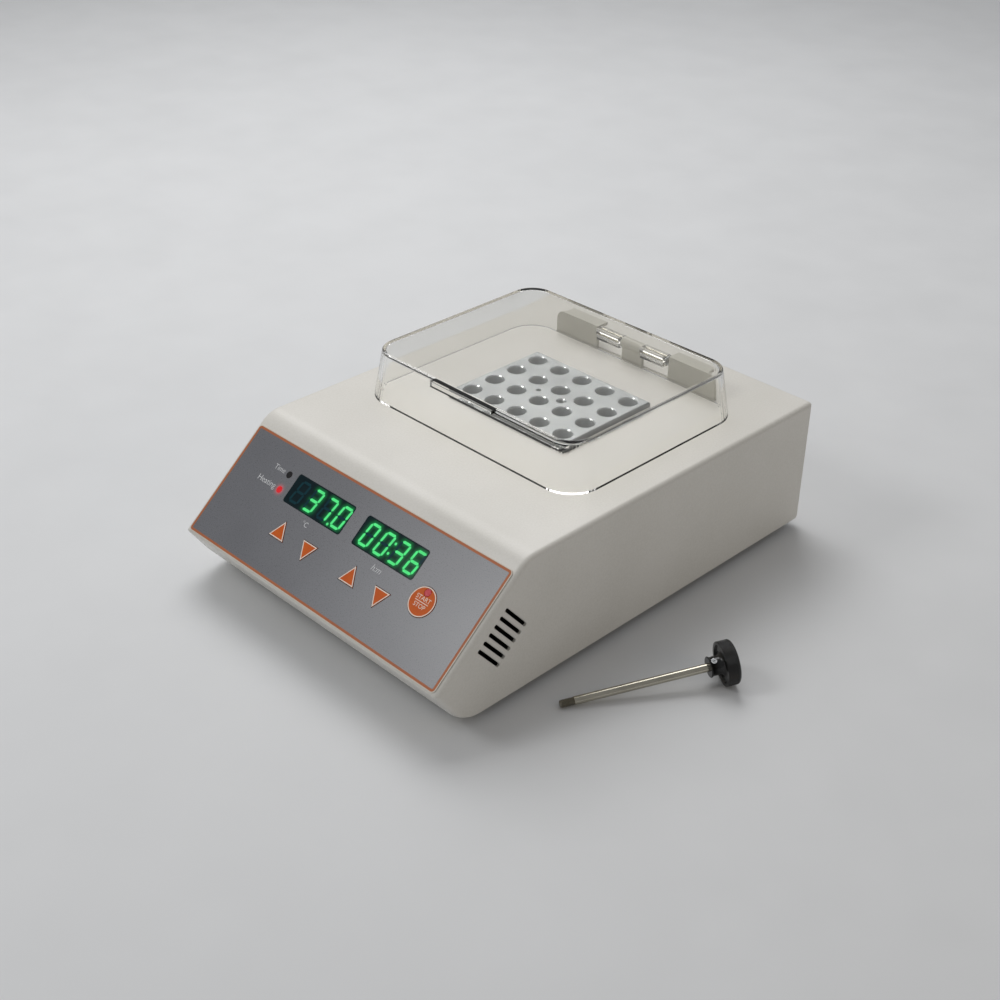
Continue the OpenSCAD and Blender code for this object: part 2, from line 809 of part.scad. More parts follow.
transformer_at = [-42, -54];
module transformer() color("#8a6a3a") translate([transformer_at.x, transformer_at.y, power_board_z + board_t]) {
    // laminated core with the bobbin through its windows
    difference() {
        translate([-21, -9, 0]) cube([42, 18, 35]);
        for (s = [-1, 1])
            translate([s * 10.5 - 3.6, -10, 6]) cube([7.2, 20, 23]);
    }
    difference() {
        translate([-14, -16, 6.2]) cube([28, 32, 22.6]);
        translate([-6.9, -9.05, 0]) cube([13.8, 18.1, 30]);
        for (s = [-1, 1])
            translate([s * 17.5 - 3.6, -9.05, 0]) cube([7.2, 18.1, 30]);
    }
}

module triac_heatsink() color(ALU) translate([14, -62, power_board_z + board_t]) {
    translate([-12, -1.5, 0]) cube([24, 3, 24]);
    for (i = [-3:3])
        translate([i * 3.7 - 0.6, 1.4, 0]) cube([1.2, 9, 24]);
}

module terminal_block() color("#2f7d3b") translate([16, -80, power_board_z + board_t])
    difference() {
        translate([-15, -4.5, 0]) cube([30, 9, 10]);
        for (i = [-2.5:2.5])
            translate([i * 5, 0, 0]) {
                translate([0, -5, 4]) cube([3.4, 8, 4], center = true);
                translate([0, 1, 7]) cylinder(h = 4, d = 3);
            }
    }

// ---- Rear fittings ----

drawer_size = [22, 7, 17];
drawer_z = inlet_z - 10.2;
socket_z = inlet_z + 4.3;

// outline of the power socket, wide side down
module socket_shape(g) {
    w = 12.2 + g;
    h = 8.3 + g;
    c = 4.6;
    polygon([[-w, -h], [w, -h], [w, h - c], [w - c, h], [c - w, h], [-w, h - c]]);
}

module power_inlet() color(BLACK) difference() {
    union() {
        translate([inlet_x - inlet_flange.x / 2, panel_face, inlet_z - inlet_flange.y / 2])
            cube([inlet_flange.x, inlet_flange.z, inlet_flange.y]);
        translate([inlet_x - inlet_body.x / 2, panel_face - inlet_body.z, inlet_z - inlet_body.y / 2])
            cube([inlet_body.x, inlet_body.z + 0.1, inlet_body.y]);
    }
    translate([inlet_x, panel_face + inlet_flange.z + 1, socket_z])
        rotate([90, 0, 0]) linear_extrude(17) mirror([1, 0]) socket_shape(0);
    // fuse drawer's pocket
    translate([inlet_x - drawer_size.x / 2 - fit, panel_face + inlet_flange.z - drawer_size.z - fit, drawer_z - drawer_size.y / 2 - fit])
        cube([drawer_size.x + 2 * fit, drawer_size.z + 5, drawer_size.y + 2 * fit]);
    for (s = [-1, 1])
        translate([inlet_x + s * 20, panel_face - 1, inlet_z])
            rotate([-90, 0, 0]) {
                cylinder(h = 6, d = 3.2);
                translate([0, 0, 1 + inlet_flange.z - 1.2]) cylinder(h = 6, d = 5.8);
            }
    for (p = PIN_PLACES)
        translate([inlet_x + p.x, panel_face - inlet_body.z - 1, socket_z + p.y])
            translate([-1, 0, -2]) cube([2, 12, 4]);
}
PIN_PLACES = [[-7, -2.4], [7, -2.4], [0, 2.2]];

module inlet_pins() color("#c9a24a")
    for (p = PIN_PLACES)
        translate([inlet_x + p.x - 1, panel_face - inlet_body.z - 6, socket_z + p.y - 2])
            cube([2, 6 + inlet_body.z - 3, 4]);

module inlet_screws() color(STEEL)
    for (s = [-1, 1])
        translate([inlet_x + s * 20, panel_face + inlet_flange.z - 1.2, inlet_z])
            rotate([-90, 0, 0]) screw(screw_d, 9, 5.4, 1.3);

module fuse_drawer() color(BLACK)
    translate([inlet_x, panel_face + inlet_flange.z, drawer_z]) difference() {
        union() {
            translate([-drawer_size.x / 2, -drawer_size.z, -drawer_size.y / 2])
                cube([drawer_size.x, drawer_size.z, drawer_size.y]);
            translate([-drawer_size.x / 2, -eps, -drawer_size.y / 2])
                cube([drawer_size.x, 1.4, drawer_size.y]);
        }
        // trough for the fuse, open on top
        translate([-10.3, -14, -2.8]) cube([20.6, 5.8, 10]);
        // finger notch
        translate([-4, 0.4, -1]) cube([8, 3, 2]);
    }

module fuse_parts(caps) {
    translate([inlet_x, panel_face + inlet_flange.z - 11.1, drawer_z - 0.2])
        rotate([0, 90, 0])
            if (caps)
                for (s = [-1, 1])
                    translate([0, 0, s * 7.5]) difference() {
                        cylinder(h = 5, d = 5.2, center = true);
                        translate([0, 0, -s * 0.6]) cylinder(h = 5, d = 4.7, center = true);
                    }
            else
                cylinder(h = 18.4, d = 4.6, center = true);
}
module fuse_glass() color(CLEAR) fuse_parts(false);
module fuse_caps() color(STEEL) fuse_parts(true);

module switch_frame() color(BLACK)
    translate([switch_x, panel_face, rocker_z]) difference() {
        union() {
            translate([-switch_flange.x / 2, 0, -switch_flange.y / 2])
                cube([switch_flange.x, switch_flange.z, switch_flange.y]);
            translate([-switch_body.x / 2, -switch_body.z, -switch_body.y / 2])
                cube([switch_body.x, switch_body.z + 0.1, switch_body.y]);
        }
        translate([-8.2, -8, -5.2]) cube([16.4, 20, 10.4]);
        translate([0, -rocker_drop, 0]) cylinder(h = switch_body.y - 0.2, d = rocker_pin_d + 2 * pin_gap, center = true);
    }
rocker_drop = 1;
rocker_pin_d = 1.6;

// rocker on a cross pin; its face is a shallow V, tipped to the on side
module power_rocker() color(BLACK)
    translate([switch_x, panel_face - rocker_drop, rocker_z])
        rotate([0, 0, -rocker_swing / 2]) {
            linear_extrude(9.6, center = true)
                polygon([[-7.4, 2.6], [0, 1.4], [7.4, 2.6], [6.6, -1.2], [2.4, -4.4], [-2.4, -4.4], [-6.6, -1.2]]);
            cylinder(h = switch_body.y - 0.6, d = rocker_pin_d, center = true);
        }

// ---- Hinge ----

module hinge_bracket() color(CREAM) difference() {
    flange_z = body_h - cover_t - hinge_t;
    union() {
        // ears
        for (s = [-1, 1])
            translate([0, ear_y + hinge_t, 0])
                rotate([90, 0, 0])
                    linear_extrude(hinge_t)
                        ear_shape(s, flange_z);
        // sheet between the ears, inside the cover
        translate([-hinge_w / 2, ear_y, flange_z])
            cube([hinge_w, hinge_t, hinge_t + cover_t - 0.4]);
        // foot against the underside of the cover
        translate([-hinge_w / 2, ear_y, flange_z])
            cube([hinge_w, 14, hinge_t]);
        // middle tab and knuckle
        translate([-barrel_x, ear_y, flange_z])
            cube([2 * barrel_x, hinge_t, pin_z - flange_z]);
        translate([-barrel_x, pin_y, pin_z])
            rotate([0, 90, 0]) cylinder(h = 2 * barrel_x, r = knuckle_r - 0.2);
        // rearward lips, the open lid's stop
        for (s = [-1, 1])
            translate([s > 0 ? ear_x : -hinge_w / 2 + ear_r, ear_y, body_h + hinge_h - hinge_t])
                cube([hinge_w / 2 - ear_r - ear_x, lip_out, hinge_t]);
    }
    translate([-barrel_x - 1, pin_y, pin_z])
        rotate([0, 90, 0]) cylinder(h = 2 * barrel_x + 2, d = pin_d + 2 * pin_gap);
    for (x = HINGE_STUD_X)
        translate([x, hinge_stud_y, flange_z - 1]) cylinder(h = hinge_t + 2, d = clear_d);
}
HINGE_STUD_X = [-50, 0, 50];
hinge_stud_y = ear_y + 9;
nut_t = 2.4;

module ear_shape(s, z0) {
    z1 = body_h + hinge_h;
    x0 = ear_x;
    x1 = hinge_w / 2;
    mirror([s > 0 ? 0 : 1, 0]) {
        translate([x0, z0]) square([x1 - x0, z1 - ear_r - z0]);
        translate([x0, z0]) square([x1 - ear_r - x0, z1 - z0]);
        translate([x1 - ear_r, z1 - ear_r]) circle(ear_r);
    }
}

module hinge_nuts() color(STEEL)
    for (x = HINGE_STUD_X)
        translate([x, hinge_stud_y, body_h - cover_t - hinge_t - nut_t])
            difference() {
                cylinder(h = nut_t, d = 6.35, $fn = 6);
                translate([0, 0, -1]) cylinder(h = nut_t + 2, d = tap_d);
            }

module hinge_pin() color(STEEL)
    translate([-pin_half, pin_y, pin_z])
        rotate([0, 90, 0]) difference() {
            cylinder(h = 2 * pin_half, d = pin_d);
            for (z = [0.6, 2 * pin_half - 0.6 - clip_t])
                translate([0, 0, z]) difference() {
                    cylinder(h = clip_t, d = pin_d + 1);
                    translate([0, 0, -1]) cylinder(h = clip_t + 2, d = pin_d - 0.8);
                }
        }

module hinge_clips() color(STEEL)
    for (x = [-pin_half + 0.6, pin_half - 0.6 - clip_t])
        translate([x, pin_y, pin_z])
            rotate([0, 90, 0]) difference() {
                cylinder(h = clip_t, d = pin_d + 3.2);
                translate([0, 0, -1]) cylinder(h = clip_t + 2, d = pin_d - 0.7);
                translate([-0.9, 0, -1]) cube([1.8, 5, clip_t + 2]);
            }

// ---- Lid ----

// ring of the lid at height z, moved in by inset
LID_STEPS = 12;
function lid_ring(inset, z) =
    let(w = lid_w / 2 - inset, d = lid_d / 2 - inset, r = max(lid_r - inset, min_r))
    [
        for (k = [0:3], i = [0:LID_STEPS])
            let(
                a = 90 * (k + i / LID_STEPS),
                c = [(k == 0 || k == 3 ? 1 : -1) * (w - r), (k < 2 ? 1 : -1) * (d - r)]
            )
            [c.x + r * cos(a), block_y + c.y + r * sin(a), z]
    ];

// drafted form from z0 to z1, t inside the lid's outer face, with its top edge rounded
module lid_form(t, z0, z1, top_r) {
    lean = lid_draft / lid_h;
    ringed_form(concat(
        [lid_ring(t + lean * (z0 - lid_z), z0)],
        [for (a = [0:30:90])
            let(z = z1 - top_r * (1 - sin(a)))
            lid_ring(t + lean * (z - lid_z) + top_r * (1 - cos(a)), z)]
    ));
}

module lid() color(CLEAR) difference() {
    union() {
        lid_form(0, lid_z, lid_top, 1);
        // finger ledge, tall half flush with the top, low half below it
        translate([ledge_x[0], lid_front_top - ledge_out, lid_top - ledge_tall])
            cube([ledge_x[1] - ledge_x[0], ledge_out + 6, ledge_tall]);
        translate([ledge_x[1] - eps, lid_front_top - ledge_out, lid_top - ledge_tall])
            cube([ledge_x[2] - ledge_x[1], ledge_out + 9, ledge_low]);
        // hinge lugs
        for (s = [-1, 1])
            translate([s > 0 ? lug_x[0] : -lug_x[1], pin_y, pin_z])
                rotate([90, 0, 90]) linear_extrude(lug_x[1] - lug_x[0]) {
                    circle(knuckle_r);
                    translate([lid_rear - lid_wall - pin_y - 2, -knuckle_r]) square([pin_y - lid_rear + lid_wall + 2, 2 * knuckle_r]);
                }
    }
    lid_form(lid_wall, lid_z - 1, lid_top - lid_wall, 0.6);
    for (s = [-1, 1])
        translate([s > 0 ? lug_x[0] - 1 : -lug_x[1] - 1, pin_y, pin_z])
            rotate([0, 90, 0]) cylinder(h = lug_x[1] - lug_x[0] + 2, d = pin_d + 2 * pin_gap);
}

// ---- Heat block ----

function well_at(i, j) = [
    (i - (well_cols - 1) / 2) * well_pitch,
    block_y + (j - (well_rows - 1) / 2) * well_pitch
];

module tube_well() {
    rotate_extrude()
        polygon([
            [0, 1], [tube_d / 2 + 1.6, 1], [tube_d / 2 + 0.6, 0], [tube_d / 2, -0.6],
            [tube_d / 2, -tube_depth * 0.46], [tube_tip_d / 2, -tube_depth], [0, -tube_depth]
        ]);
}

module heat_block() color(ALU) difference() {
    chamfer = 0.8;
    intersection() {
        translate([0, block_y, block_bottom]) rotate([90, 0, 0])
            linear_extrude(block_d, center = true) chamfered(block_w, block_h, chamfer);
        translate([0, block_y, block_bottom]) rotate([90, 0, 90])
            linear_extrude(block_w, center = true) chamfered(block_d, block_h, chamfer);
    }
    for (i = [0:well_cols - 1], j = [0:well_rows - 1])
        translate([well_at(i, j).x, well_at(i, j).y, block_top]) tube_well();
    // threaded hole for the lifter, with its countersink
    translate([well_pitch / 2, block_y, block_top]) rotate_extrude()
        polygon([[0, 1], [rod_d / 2 + 1.8, 1], [rod_d / 2 + 0.8, 0], [rod_d / 2, -0.8], [rod_d / 2, -thread_len - 2], [0, -thread_len - 2]]);
    // thermometer hole
    translate([-well_pitch / 2, block_y, block_top - 34]) cylinder(h = 40, d = 3.2);
}

module chamfered(w, h, c) {
    polygon([[-w / 2, 0], [w / 2, 0], [w / 2, h - c], [w / 2 - c, h], [c - w / 2, h], [-w / 2, h - c]]);
}

// ---- Block lifter ----

// the rod's tilt when its tip and the knob's rim lie on the bench
lifter_tilt = atan((knob_r - rod_d / 2) / (rod_len + hub_len));

// places children so that their +Z runs from the tip along the rod
module on_lifter() {
    translate([lifter_tip.x, lifter_tip.y, rod_d / 2 * cos(lifter_tilt)])
        rotate([0, 0, lifter_heading])
            rotate([0, 90 - lifter_tilt, 0])
                children();
}

rod_in_knob = 12;
module lifter_rod() color(STEEL) on_lifter() rotate_extrude()
    polygon([
        [0, 0], [rod_d / 2 - 0.5, 0], [rod_d / 2 - 0.1, 0.4], [rod_d / 2 - 0.1, thread_len],
        [rod_d / 2, thread_len], [rod_d / 2, rod_len + rod_in_knob], [0, rod_len + rod_in_knob]
    ]);

module lifter_knob() color(BLACK) on_lifter() translate([0, 0, rod_len]) {
    bore = rod_d / 2 + 0.05;
    total = hub_len + disc_t;
    difference() {
        intersection() {
            rotate_extrude() polygon(concat(
                [[0, 0], [hub_r, 0], [hub_r, 0.4], [hub_r - 0.6, 1.4], [hub_r - 0.6, hub_len - 2]],
                // flare from the hub to the web
                [for (a = [0:15:90]) [hub_r - 0.6 + 3 * (1 - cos(a)), hub_len - 2 + 3 * sin(a)]],
                [[knob_r - 2.4, hub_len + 1], [knob_r - 2, hub_len], [knob_r, hub_len]],
                [for (a = [0:15:60]) [knob_r - 1.6 * (1 - cos(a)), total - 1.6 + 1.6 * sin(a)]],
                [[knob_r - 3, total], [0, total]]
            ));
            linear_extrude(3 * total, center = true) knurl();
        }
        translate([0, 0, -1]) cylinder(h = rod_in_knob + 1 + 0.1, r = bore);
        rotate([0, 0, screw_turn]) translate([0, 0, screw_along])
            rotate([0, 90, 0]) cylinder(h = hub_r + 1, d = set_screw_d + 0.1);
    }
}
set_screw_d = 3.4;
screw_along = 3.6;
screw_turn = 118;

module knurl() {
    polygon([
        for (i = [0:knob_teeth - 1], k = [0, 1, 2])
            let(a = (i + [0, 0.3, 0.65][k]) * 360 / knob_teeth, r = knob_r - [0, 0, 0.55][k])
                [r * cos(a), r * sin(a)]
    ]);
}

module lifter_set_screw() color(STEEL) on_lifter() translate([0, 0, rod_len + screw_along])
    rotate([0, 0, screw_turn]) rotate([0, 90, 0])
        difference() {
            translate([0, 0, rod_d / 2 + 0.1]) cylinder(h = hub_r - 0.8 - rod_d / 2, d = set_screw_d);
            translate([0, 0, hub_r - 2.4]) cylinder(h = 4, d = 1.9, $fn = 6);
        }

housing_cover();
base_plate();
rear_panel();
rubber_feet();
foot_screws();
cover_screws();
rear_screws();
keypad_overlay();
display_window_temp();
display_window_time();
display_module_temp();
display_module_time();
control_board();
board_spacers();
board_screws();
tact_switches();
key_temp_up();
key_temp_down();
key_time_up();
key_time_down();
key_start_stop();
led_time();
led_heating();
led_run();
heated_well();
well_gasket();
heater_pad();
insulation_jacket();
well_standoffs();
well_screws();
temperature_probe();
thermal_cutout();
power_board_panel();  // power_board
power_board_spacers();
power_board_screws();
transformer();
triac_heatsink();
terminal_block();
power_inlet();
inlet_pins();
inlet_screws();
fuse_drawer();
fuse_glass();
fuse_caps();
switch_frame();
power_rocker();
hinge_bracket();
hinge_nuts();
hinge_pin();
hinge_clips();
lid();
heat_block();
lifter_rod();
lifter_knob();
lifter_set_screw();
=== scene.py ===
"""Looks of the dry block heater: finishes, prints, displays, threads, light and camera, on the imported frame."""

import math

import bpy
from mathutils import Matrix, Vector


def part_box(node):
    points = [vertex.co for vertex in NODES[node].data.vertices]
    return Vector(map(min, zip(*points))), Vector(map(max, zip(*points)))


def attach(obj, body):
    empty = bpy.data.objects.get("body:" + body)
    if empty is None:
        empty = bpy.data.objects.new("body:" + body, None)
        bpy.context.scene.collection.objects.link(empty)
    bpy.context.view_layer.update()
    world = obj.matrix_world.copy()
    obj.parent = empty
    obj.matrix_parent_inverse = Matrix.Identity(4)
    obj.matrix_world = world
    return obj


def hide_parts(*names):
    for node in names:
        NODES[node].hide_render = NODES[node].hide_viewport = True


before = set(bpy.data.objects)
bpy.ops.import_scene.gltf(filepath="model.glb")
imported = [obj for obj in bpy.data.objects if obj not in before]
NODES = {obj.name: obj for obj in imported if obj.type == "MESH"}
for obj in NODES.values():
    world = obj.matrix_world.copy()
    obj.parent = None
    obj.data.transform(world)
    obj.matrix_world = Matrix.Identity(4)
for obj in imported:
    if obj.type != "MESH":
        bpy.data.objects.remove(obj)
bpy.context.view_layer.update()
MM = 0.001

# ---- Sizes shared with the construction, in millimetres ----

FRONT_Y = -157.0
NOSE_H = 32.7
SLOPE_ANGLE = math.radians(40.5)
# The panel's film, where V runs up the slope from its foot and heights are above the slope.
OVERLAY_T = 0.6
OVERLAY_W = 221 - 2 * 2.8
OVERLAY_L = 75.6
OVERLAY_MIDDLE = 1.4 + OVERLAY_L / 2
OVERLAY_R = 2.5
KEY_FACE = 0.95
KEY_W, KEY_H = 12.1, 10.9
# Triangular keys: X and V of the base's middle, and 1 for one that points up.
KEYS = {
    "key_temp_up": (-44.8, 24.6, 1),
    "key_temp_down": (-19.7, 32.4, -1),
    "key_time_up": (17.5, 24.6, 1),
    "key_time_down": (42.3, 32.4, -1),
}
START_KEY_X, START_KEY_V, START_KEY_R = 68.9, 38.3, 8.7
WINDOW_V = 54.2
WINDOWS = {"temp": -31.8, "time": 29.6}
WINDOW_W, WINDOW_H = 50.9, 18.9
HEATING_LED = (-64.2, 49.3)
ROCKER_PIVOT = (0.0, 154.4, 42.0)
ROCKER_TURN = math.radians(-8)
# The rocker's two faces fall by ROCKER_DIP from the middle to the ends, ROCKER_HALF away.
ROCKER_DIP, ROCKER_HALF, ROCKER_FACE = 1.2, 7.4, 1.4
LIFTER_TIP = (131.9, -86.6)
LIFTER_HEADING = math.radians(60)
ROD_R, ROD_LEN, ROD_IN_KNOB, THREAD_LEN = 2.4, 85.2, 12.0, 8.0
KNOB_R, DISC_T, HUB_LEN, HUB_R = 12.8, 7.6, 7.3, 6.0
SCREW_D = 3.4
# Set screws in the knob: distance along the hub, and turn about the rod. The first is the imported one.
SCREWS = [(3.6, math.radians(118)), (2.9, math.radians(198))]


# ---- Materials: the common parts ----

def hex_colour(code):
    """An sRGB hex colour as the linear colour that shaders take."""
    parts = [int(code[i:i + 2], 16) / 255 for i in (1, 3, 5)]
    return (*(c / 12.92 if c <= 0.04045 else ((c + 0.055) / 1.055) ** 2.4 for c in parts), 1.0)


def add_node(tree, kind, settings=None, **links):
    """Adds a node with its settings (properties, sockets or a colour ramp's stops) and its links, where
    a link is named for its socket, with _ for a space, or n and the socket's number."""
    node = tree.nodes.new(kind)
    for name, value in (settings or {}).items():
        if name == "ramp":
            for stop, (position, code) in zip(node.color_ramp.elements, value):
                stop.position, stop.color = position, hex_colour(code)
        elif isinstance(name, int) or name in node.inputs:
            node.inputs[name].default_value = value
        else:
            setattr(node, name, value)
    for name, source in links.items():
        numbered = name[0] == "n" and name[1:].isdigit()
        tree.links.new(source, node.inputs[int(name[1:]) if numbered else name.replace("_", " ")])
    return node


def new_material(name):
    """An empty node material and its tree."""
    material = bpy.data.materials.new(name)
    material.use_nodes = True
    material.node_tree.nodes.clear()
    return material, material.node_tree


def surface(name, colours, roughness, metallic=0.0, grain_mm=0.8, stretch=(1, 1, 1), turn=(0, 0, 0), detail=2.0,
            patch_mm=35.0, bump_mm=0.0, edge_mm=0.25, wear=None, glow=None, settings=None):
    """An opaque finish. A grain of grain_mm and broad patches of patch_mm vary its colour between two, the grain
    also its roughness and height, and edges are broken by edge_mm. The grain may be stretched along axes turned
    by turn. wear is the colour of rubbed edges. glow is a light's colour and strength, and whether it fades with
    the mesh's glow attribute."""
    material, tree = new_material(name)
    place = add_node(tree, "ShaderNodeTexCoord").outputs["Object"]
    scaled = add_node(tree, "ShaderNodeMapping", {
        "vector_type": "TEXTURE", "Scale": [s * grain_mm * MM for s in stretch], "Rotation": turn}, Vector=place)
    grain = add_node(tree, "ShaderNodeTexNoise", {"Scale": 1.0, "Detail": detail, "Roughness": 0.55},
                     Vector=scaled.outputs[0]).outputs[0]
    patches = add_node(tree, "ShaderNodeTexNoise", {"Scale": 1 / (patch_mm * MM), "Detail": 2.0},
                       Vector=place).outputs[0]
    both = add_node(tree, "ShaderNodeMix", {0: 0.5}, n2=grain, n3=patches).outputs[0]
    colour = add_node(tree, "ShaderNodeValToRGB", {"ramp": [(0.38, colours[0]), (0.62, colours[1])]},
                      Fac=both).outputs[0]
    links = {"Roughness": add_node(tree, "ShaderNodeMapRange", {
        "From Min": 0.3, "From Max": 0.7, "To Min": roughness[0], "To Max": roughness[1]}, Value=grain).outputs[0]}
    normal = None
    if edge_mm:
        normal = add_node(tree, "ShaderNodeBevel", {"samples": 4, "Radius": edge_mm * MM}).outputs[0]
    if wear:
        facing = add_node(tree, "ShaderNodeNewGeometry").outputs["Normal"]
        lean = add_node(tree, "ShaderNodeVectorMath", {"operation": "DOT_PRODUCT"}, n0=normal, n1=facing)
        edge = add_node(tree, "ShaderNodeMapRange", {"From Min": 0.99, "From Max": 0.88, "To Max": 0.9},
                        Value=lean.outputs["Value"]).outputs[0]
        rubbed = add_node(tree, "ShaderNodeMapRange", {"From Min": 0.4, "From Max": 0.6, "To Min": 0.15},
                          Value=both).outputs[0]
        worn = add_node(tree, "ShaderNodeMath", {"operation": "MULTIPLY"}, n0=edge, n1=rubbed).outputs[0]
        colour = add_node(tree, "ShaderNodeMix", {"data_type": "RGBA", 7: hex_colour(wear)}, n0=worn,
                          n6=colour).outputs[2]
    if bump_mm:
        bump = add_node(tree, "ShaderNodeBump", {"Strength": 1.0, "Distance": bump_mm * MM}, Height=grain)
        if normal:
            tree.links.new(normal, bump.inputs["Normal"])
        normal = bump.outputs[0]
    if normal:
        links["Normal"] = normal
    values = {"Metallic": metallic, **(settings or {})}
    if glow:
        code, strength, fades = glow
        values["Emission Color"] = hex_colour(code)
        if fades:
            level = add_node(tree, "ShaderNodeAttribute", {"attribute_name": "glow"}).outputs["Fac"]
            span = {"To Max": strength}
        else:
            level = grain
            span = {"From Min": 0.2, "From Max": 0.8, "To Min": 0.85 * strength, "To Max": 1.15 * strength}
        links["Emission_Strength"] = add_node(tree, "ShaderNodeMapRange", span, Value=level).outputs[0]
    shader = add_node(tree, "ShaderNodeBsdfPrincipled", values, Base_Color=colour, **links)
    add_node(tree, "ShaderNodeOutputMaterial", Surface=shader.outputs[0])
    return material


# ---- Materials of this object ----

# Polyester powder coat, sprayed and baked on sheet steel: a warm off-white satin whose orange peel softens
# highlights, a little thinner and greyer along the folds.
POWDER_COAT = surface("powder_coat_off_white", ("#D8D5CD", "#E0DDD6"), (0.33, 0.42), grain_mm=1.1, patch_mm=60,
                      bump_mm=0.006, edge_mm=0.6, wear="#C4C0B5")
# The same coat on the small hinge bracket, darkened to a warm grey: painted shade for the shade on its front face.
BRACKET_SHADED_COAT = surface("powder_coat_painted_shade_grey", ("#BAB7AA", "#C3C0B4"), (0.4, 0.5), grain_mm=1.1, bump_mm=0.006,
                       edge_mm=0.4, wear="#CFCCC0")
# Polyester film, screen-printed from behind: a mid grey satin with a fine embossed texture.
PANEL_FILM = surface("printed_polyester_film_grey", ("#626368", "#6A6B70"), (0.26, 0.32), grain_mm=0.5, patch_mm=45,
                     bump_mm=0.003, edge_mm=0.15, wear="#85868A", settings={"IOR": 1.65})
# Polyester film, die cut: its edge shows the pale core as a hairline round the panel.
FILM_EDGE = surface("polyester_film_cut_edge", ("#C9C3B6", "#D6D0C4"), (0.45, 0.55), grain_mm=0.6, edge_mm=0)
# Epoxy ink, screen-printed: a burnt orange line, matt.
BORDER_INK = surface("screen_ink_orange", ("#A85A2B", "#B5632F"), (0.45, 0.55), grain_mm=0.5, edge_mm=0)
# Epoxy ink, screen-printed: pale grey lettering, matt.
LETTER_INK = surface("screen_ink_pale_grey", ("#D2D3D4", "#DEDFE0"), (0.5, 0.6), grain_mm=0.4, edge_mm=0)
# Epoxy ink, screen-printed: cream outline and words on a key.
RIM_INK = surface("screen_ink_cream", ("#F0DCCC", "#F7E6D8"), (0.5, 0.6), grain_mm=0.4, edge_mm=0)
# Nylon ink, pad-printed: white switch marks.
SWITCH_INK = surface("pad_ink_white", ("#D6D6D4", "#E2E2E0"), (0.5, 0.6), grain_mm=0.4, edge_mm=0)
# Polyester film, embossed into a key and printed orange from behind: a satin, slightly paler on its rubbed rim.
KEY_FILM = surface("embossed_polyester_orange", ("#C9560B", "#D26111"), (0.36, 0.46), grain_mm=0.5, patch_mm=6,
                   bump_mm=0.003, edge_mm=0.2, wear="#DB8552", settings={"Specular IOR Level": 0.18})
# Acrylic filter, smoked and polished: near black with a blue-green cast, sharp faint reflections.
SMOKED_ACRYLIC = surface("smoked_acrylic", ("#101F24", "#14272C"), (0.08, 0.12), grain_mm=6, edge_mm=0.15,
                         settings={"Specular IOR Level": 0.2})
# Light-emitting segments, cast in diffusing epoxy: evenly bright green.
LIT_SEGMENT = surface("diffused_epoxy_green_lit", ("#1D7A3A", "#238546"), (0.4, 0.5), grain_mm=2.5, edge_mm=0,
                      glow=("#55E283", 0.85, False), settings={"Specular IOR Level": 0.1})
# The same filter where lit segments shine into it: a green haze that falls away from them.
GLOW_FACE = surface("smoked_acrylic_glowing", ("#101F24", "#14272C"), (0.1, 0.14), grain_mm=6, edge_mm=0,
                    glow=("#1FA650", 0.36, True), settings={"Specular IOR Level": 0.12})
# Unlit segments, cast in grey epoxy: faint teal shapes behind the filter.
UNLIT_SEGMENT = surface("diffused_epoxy_unlit", ("#173840", "#1A3F47"), (0.1, 0.14), grain_mm=2, edge_mm=0,
                        settings={"Specular IOR Level": 0.1})
# Epoxy lamp, cast in a near black tint: glossy, unlit.
LAMP_DARK = surface("cast_epoxy_dark", ("#100F10", "#181617"), (0.12, 0.2), grain_mm=1.5, edge_mm=0.1)
# Epoxy lamp, cast in red and lit from inside: glossy, bright at the top.
LAMP_LIT = surface("cast_epoxy_red_lit", ("#B3141C", "#C41A22"), (0.12, 0.2), grain_mm=1.5, edge_mm=0.1,
                   glow=("#E81C24", 0.35, False))
# Epoxy lamp, cast in red and dimly lit: glossy, deep red.
LAMP_DIM = surface("cast_epoxy_red_dim", ("#A00C20", "#AE1026"), (0.12, 0.2), grain_mm=1.5, edge_mm=0.1,
                   glow=("#C81028", 0.18, False), settings={"Specular IOR Level": 0.2})
# The panel's film round the lit lamp: the same grey with a painted red glow, the lamp's light fading away from it.
PAINTED_LAMP_GLOW = surface("film_with_painted_red_glow", ("#626368", "#6A6B70"), (0.26, 0.32), grain_mm=0.5, patch_mm=45,
                    edge_mm=0, glow=("#D6303A", 0.4, True), settings={"IOR": 1.65})
# Aluminium, bead blasted and clear anodised: a mid grey with a soft, dull shine.
BLASTED_ALUMINIUM = surface("blasted_anodised_aluminium", ("#919393", "#9EA0A0"), (0.36, 0.47), metallic=1.0,
                            grain_mm=0.5, patch_mm=20, bump_mm=0.008, edge_mm=0.3, wear="#C6C8C9")
# Aluminium, cut by the countersink after anodising: bright rims.
CUT_ALUMINIUM = surface("countersunk_aluminium", ("#D8DADB", "#E2E4E5"), (0.2, 0.28), metallic=1.0, grain_mm=0.8,
                        edge_mm=0.1)
# Aluminium, drilled and anodised: a pale matt grey whose drill marks run round the bore.
BORED_ALUMINIUM = surface("drilled_anodised_aluminium", ("#C2C4C3", "#D0D2D1"), (0.45, 0.55), metallic=0.25,
                          grain_mm=0.6, stretch=(2.5, 2.5, 0.3), bump_mm=0.006, edge_mm=0)
# Aluminium, milled: grey with a fine lay along X.
MILLED_ALUMINIUM = surface("milled_aluminium", ("#A9ABAC", "#B7B9BA"), (0.28, 0.4), metallic=1.0, grain_mm=0.7,
                           stretch=(4, 0.25, 1), bump_mm=0.004, edge_mm=0.3, wear="#CFD1D2")
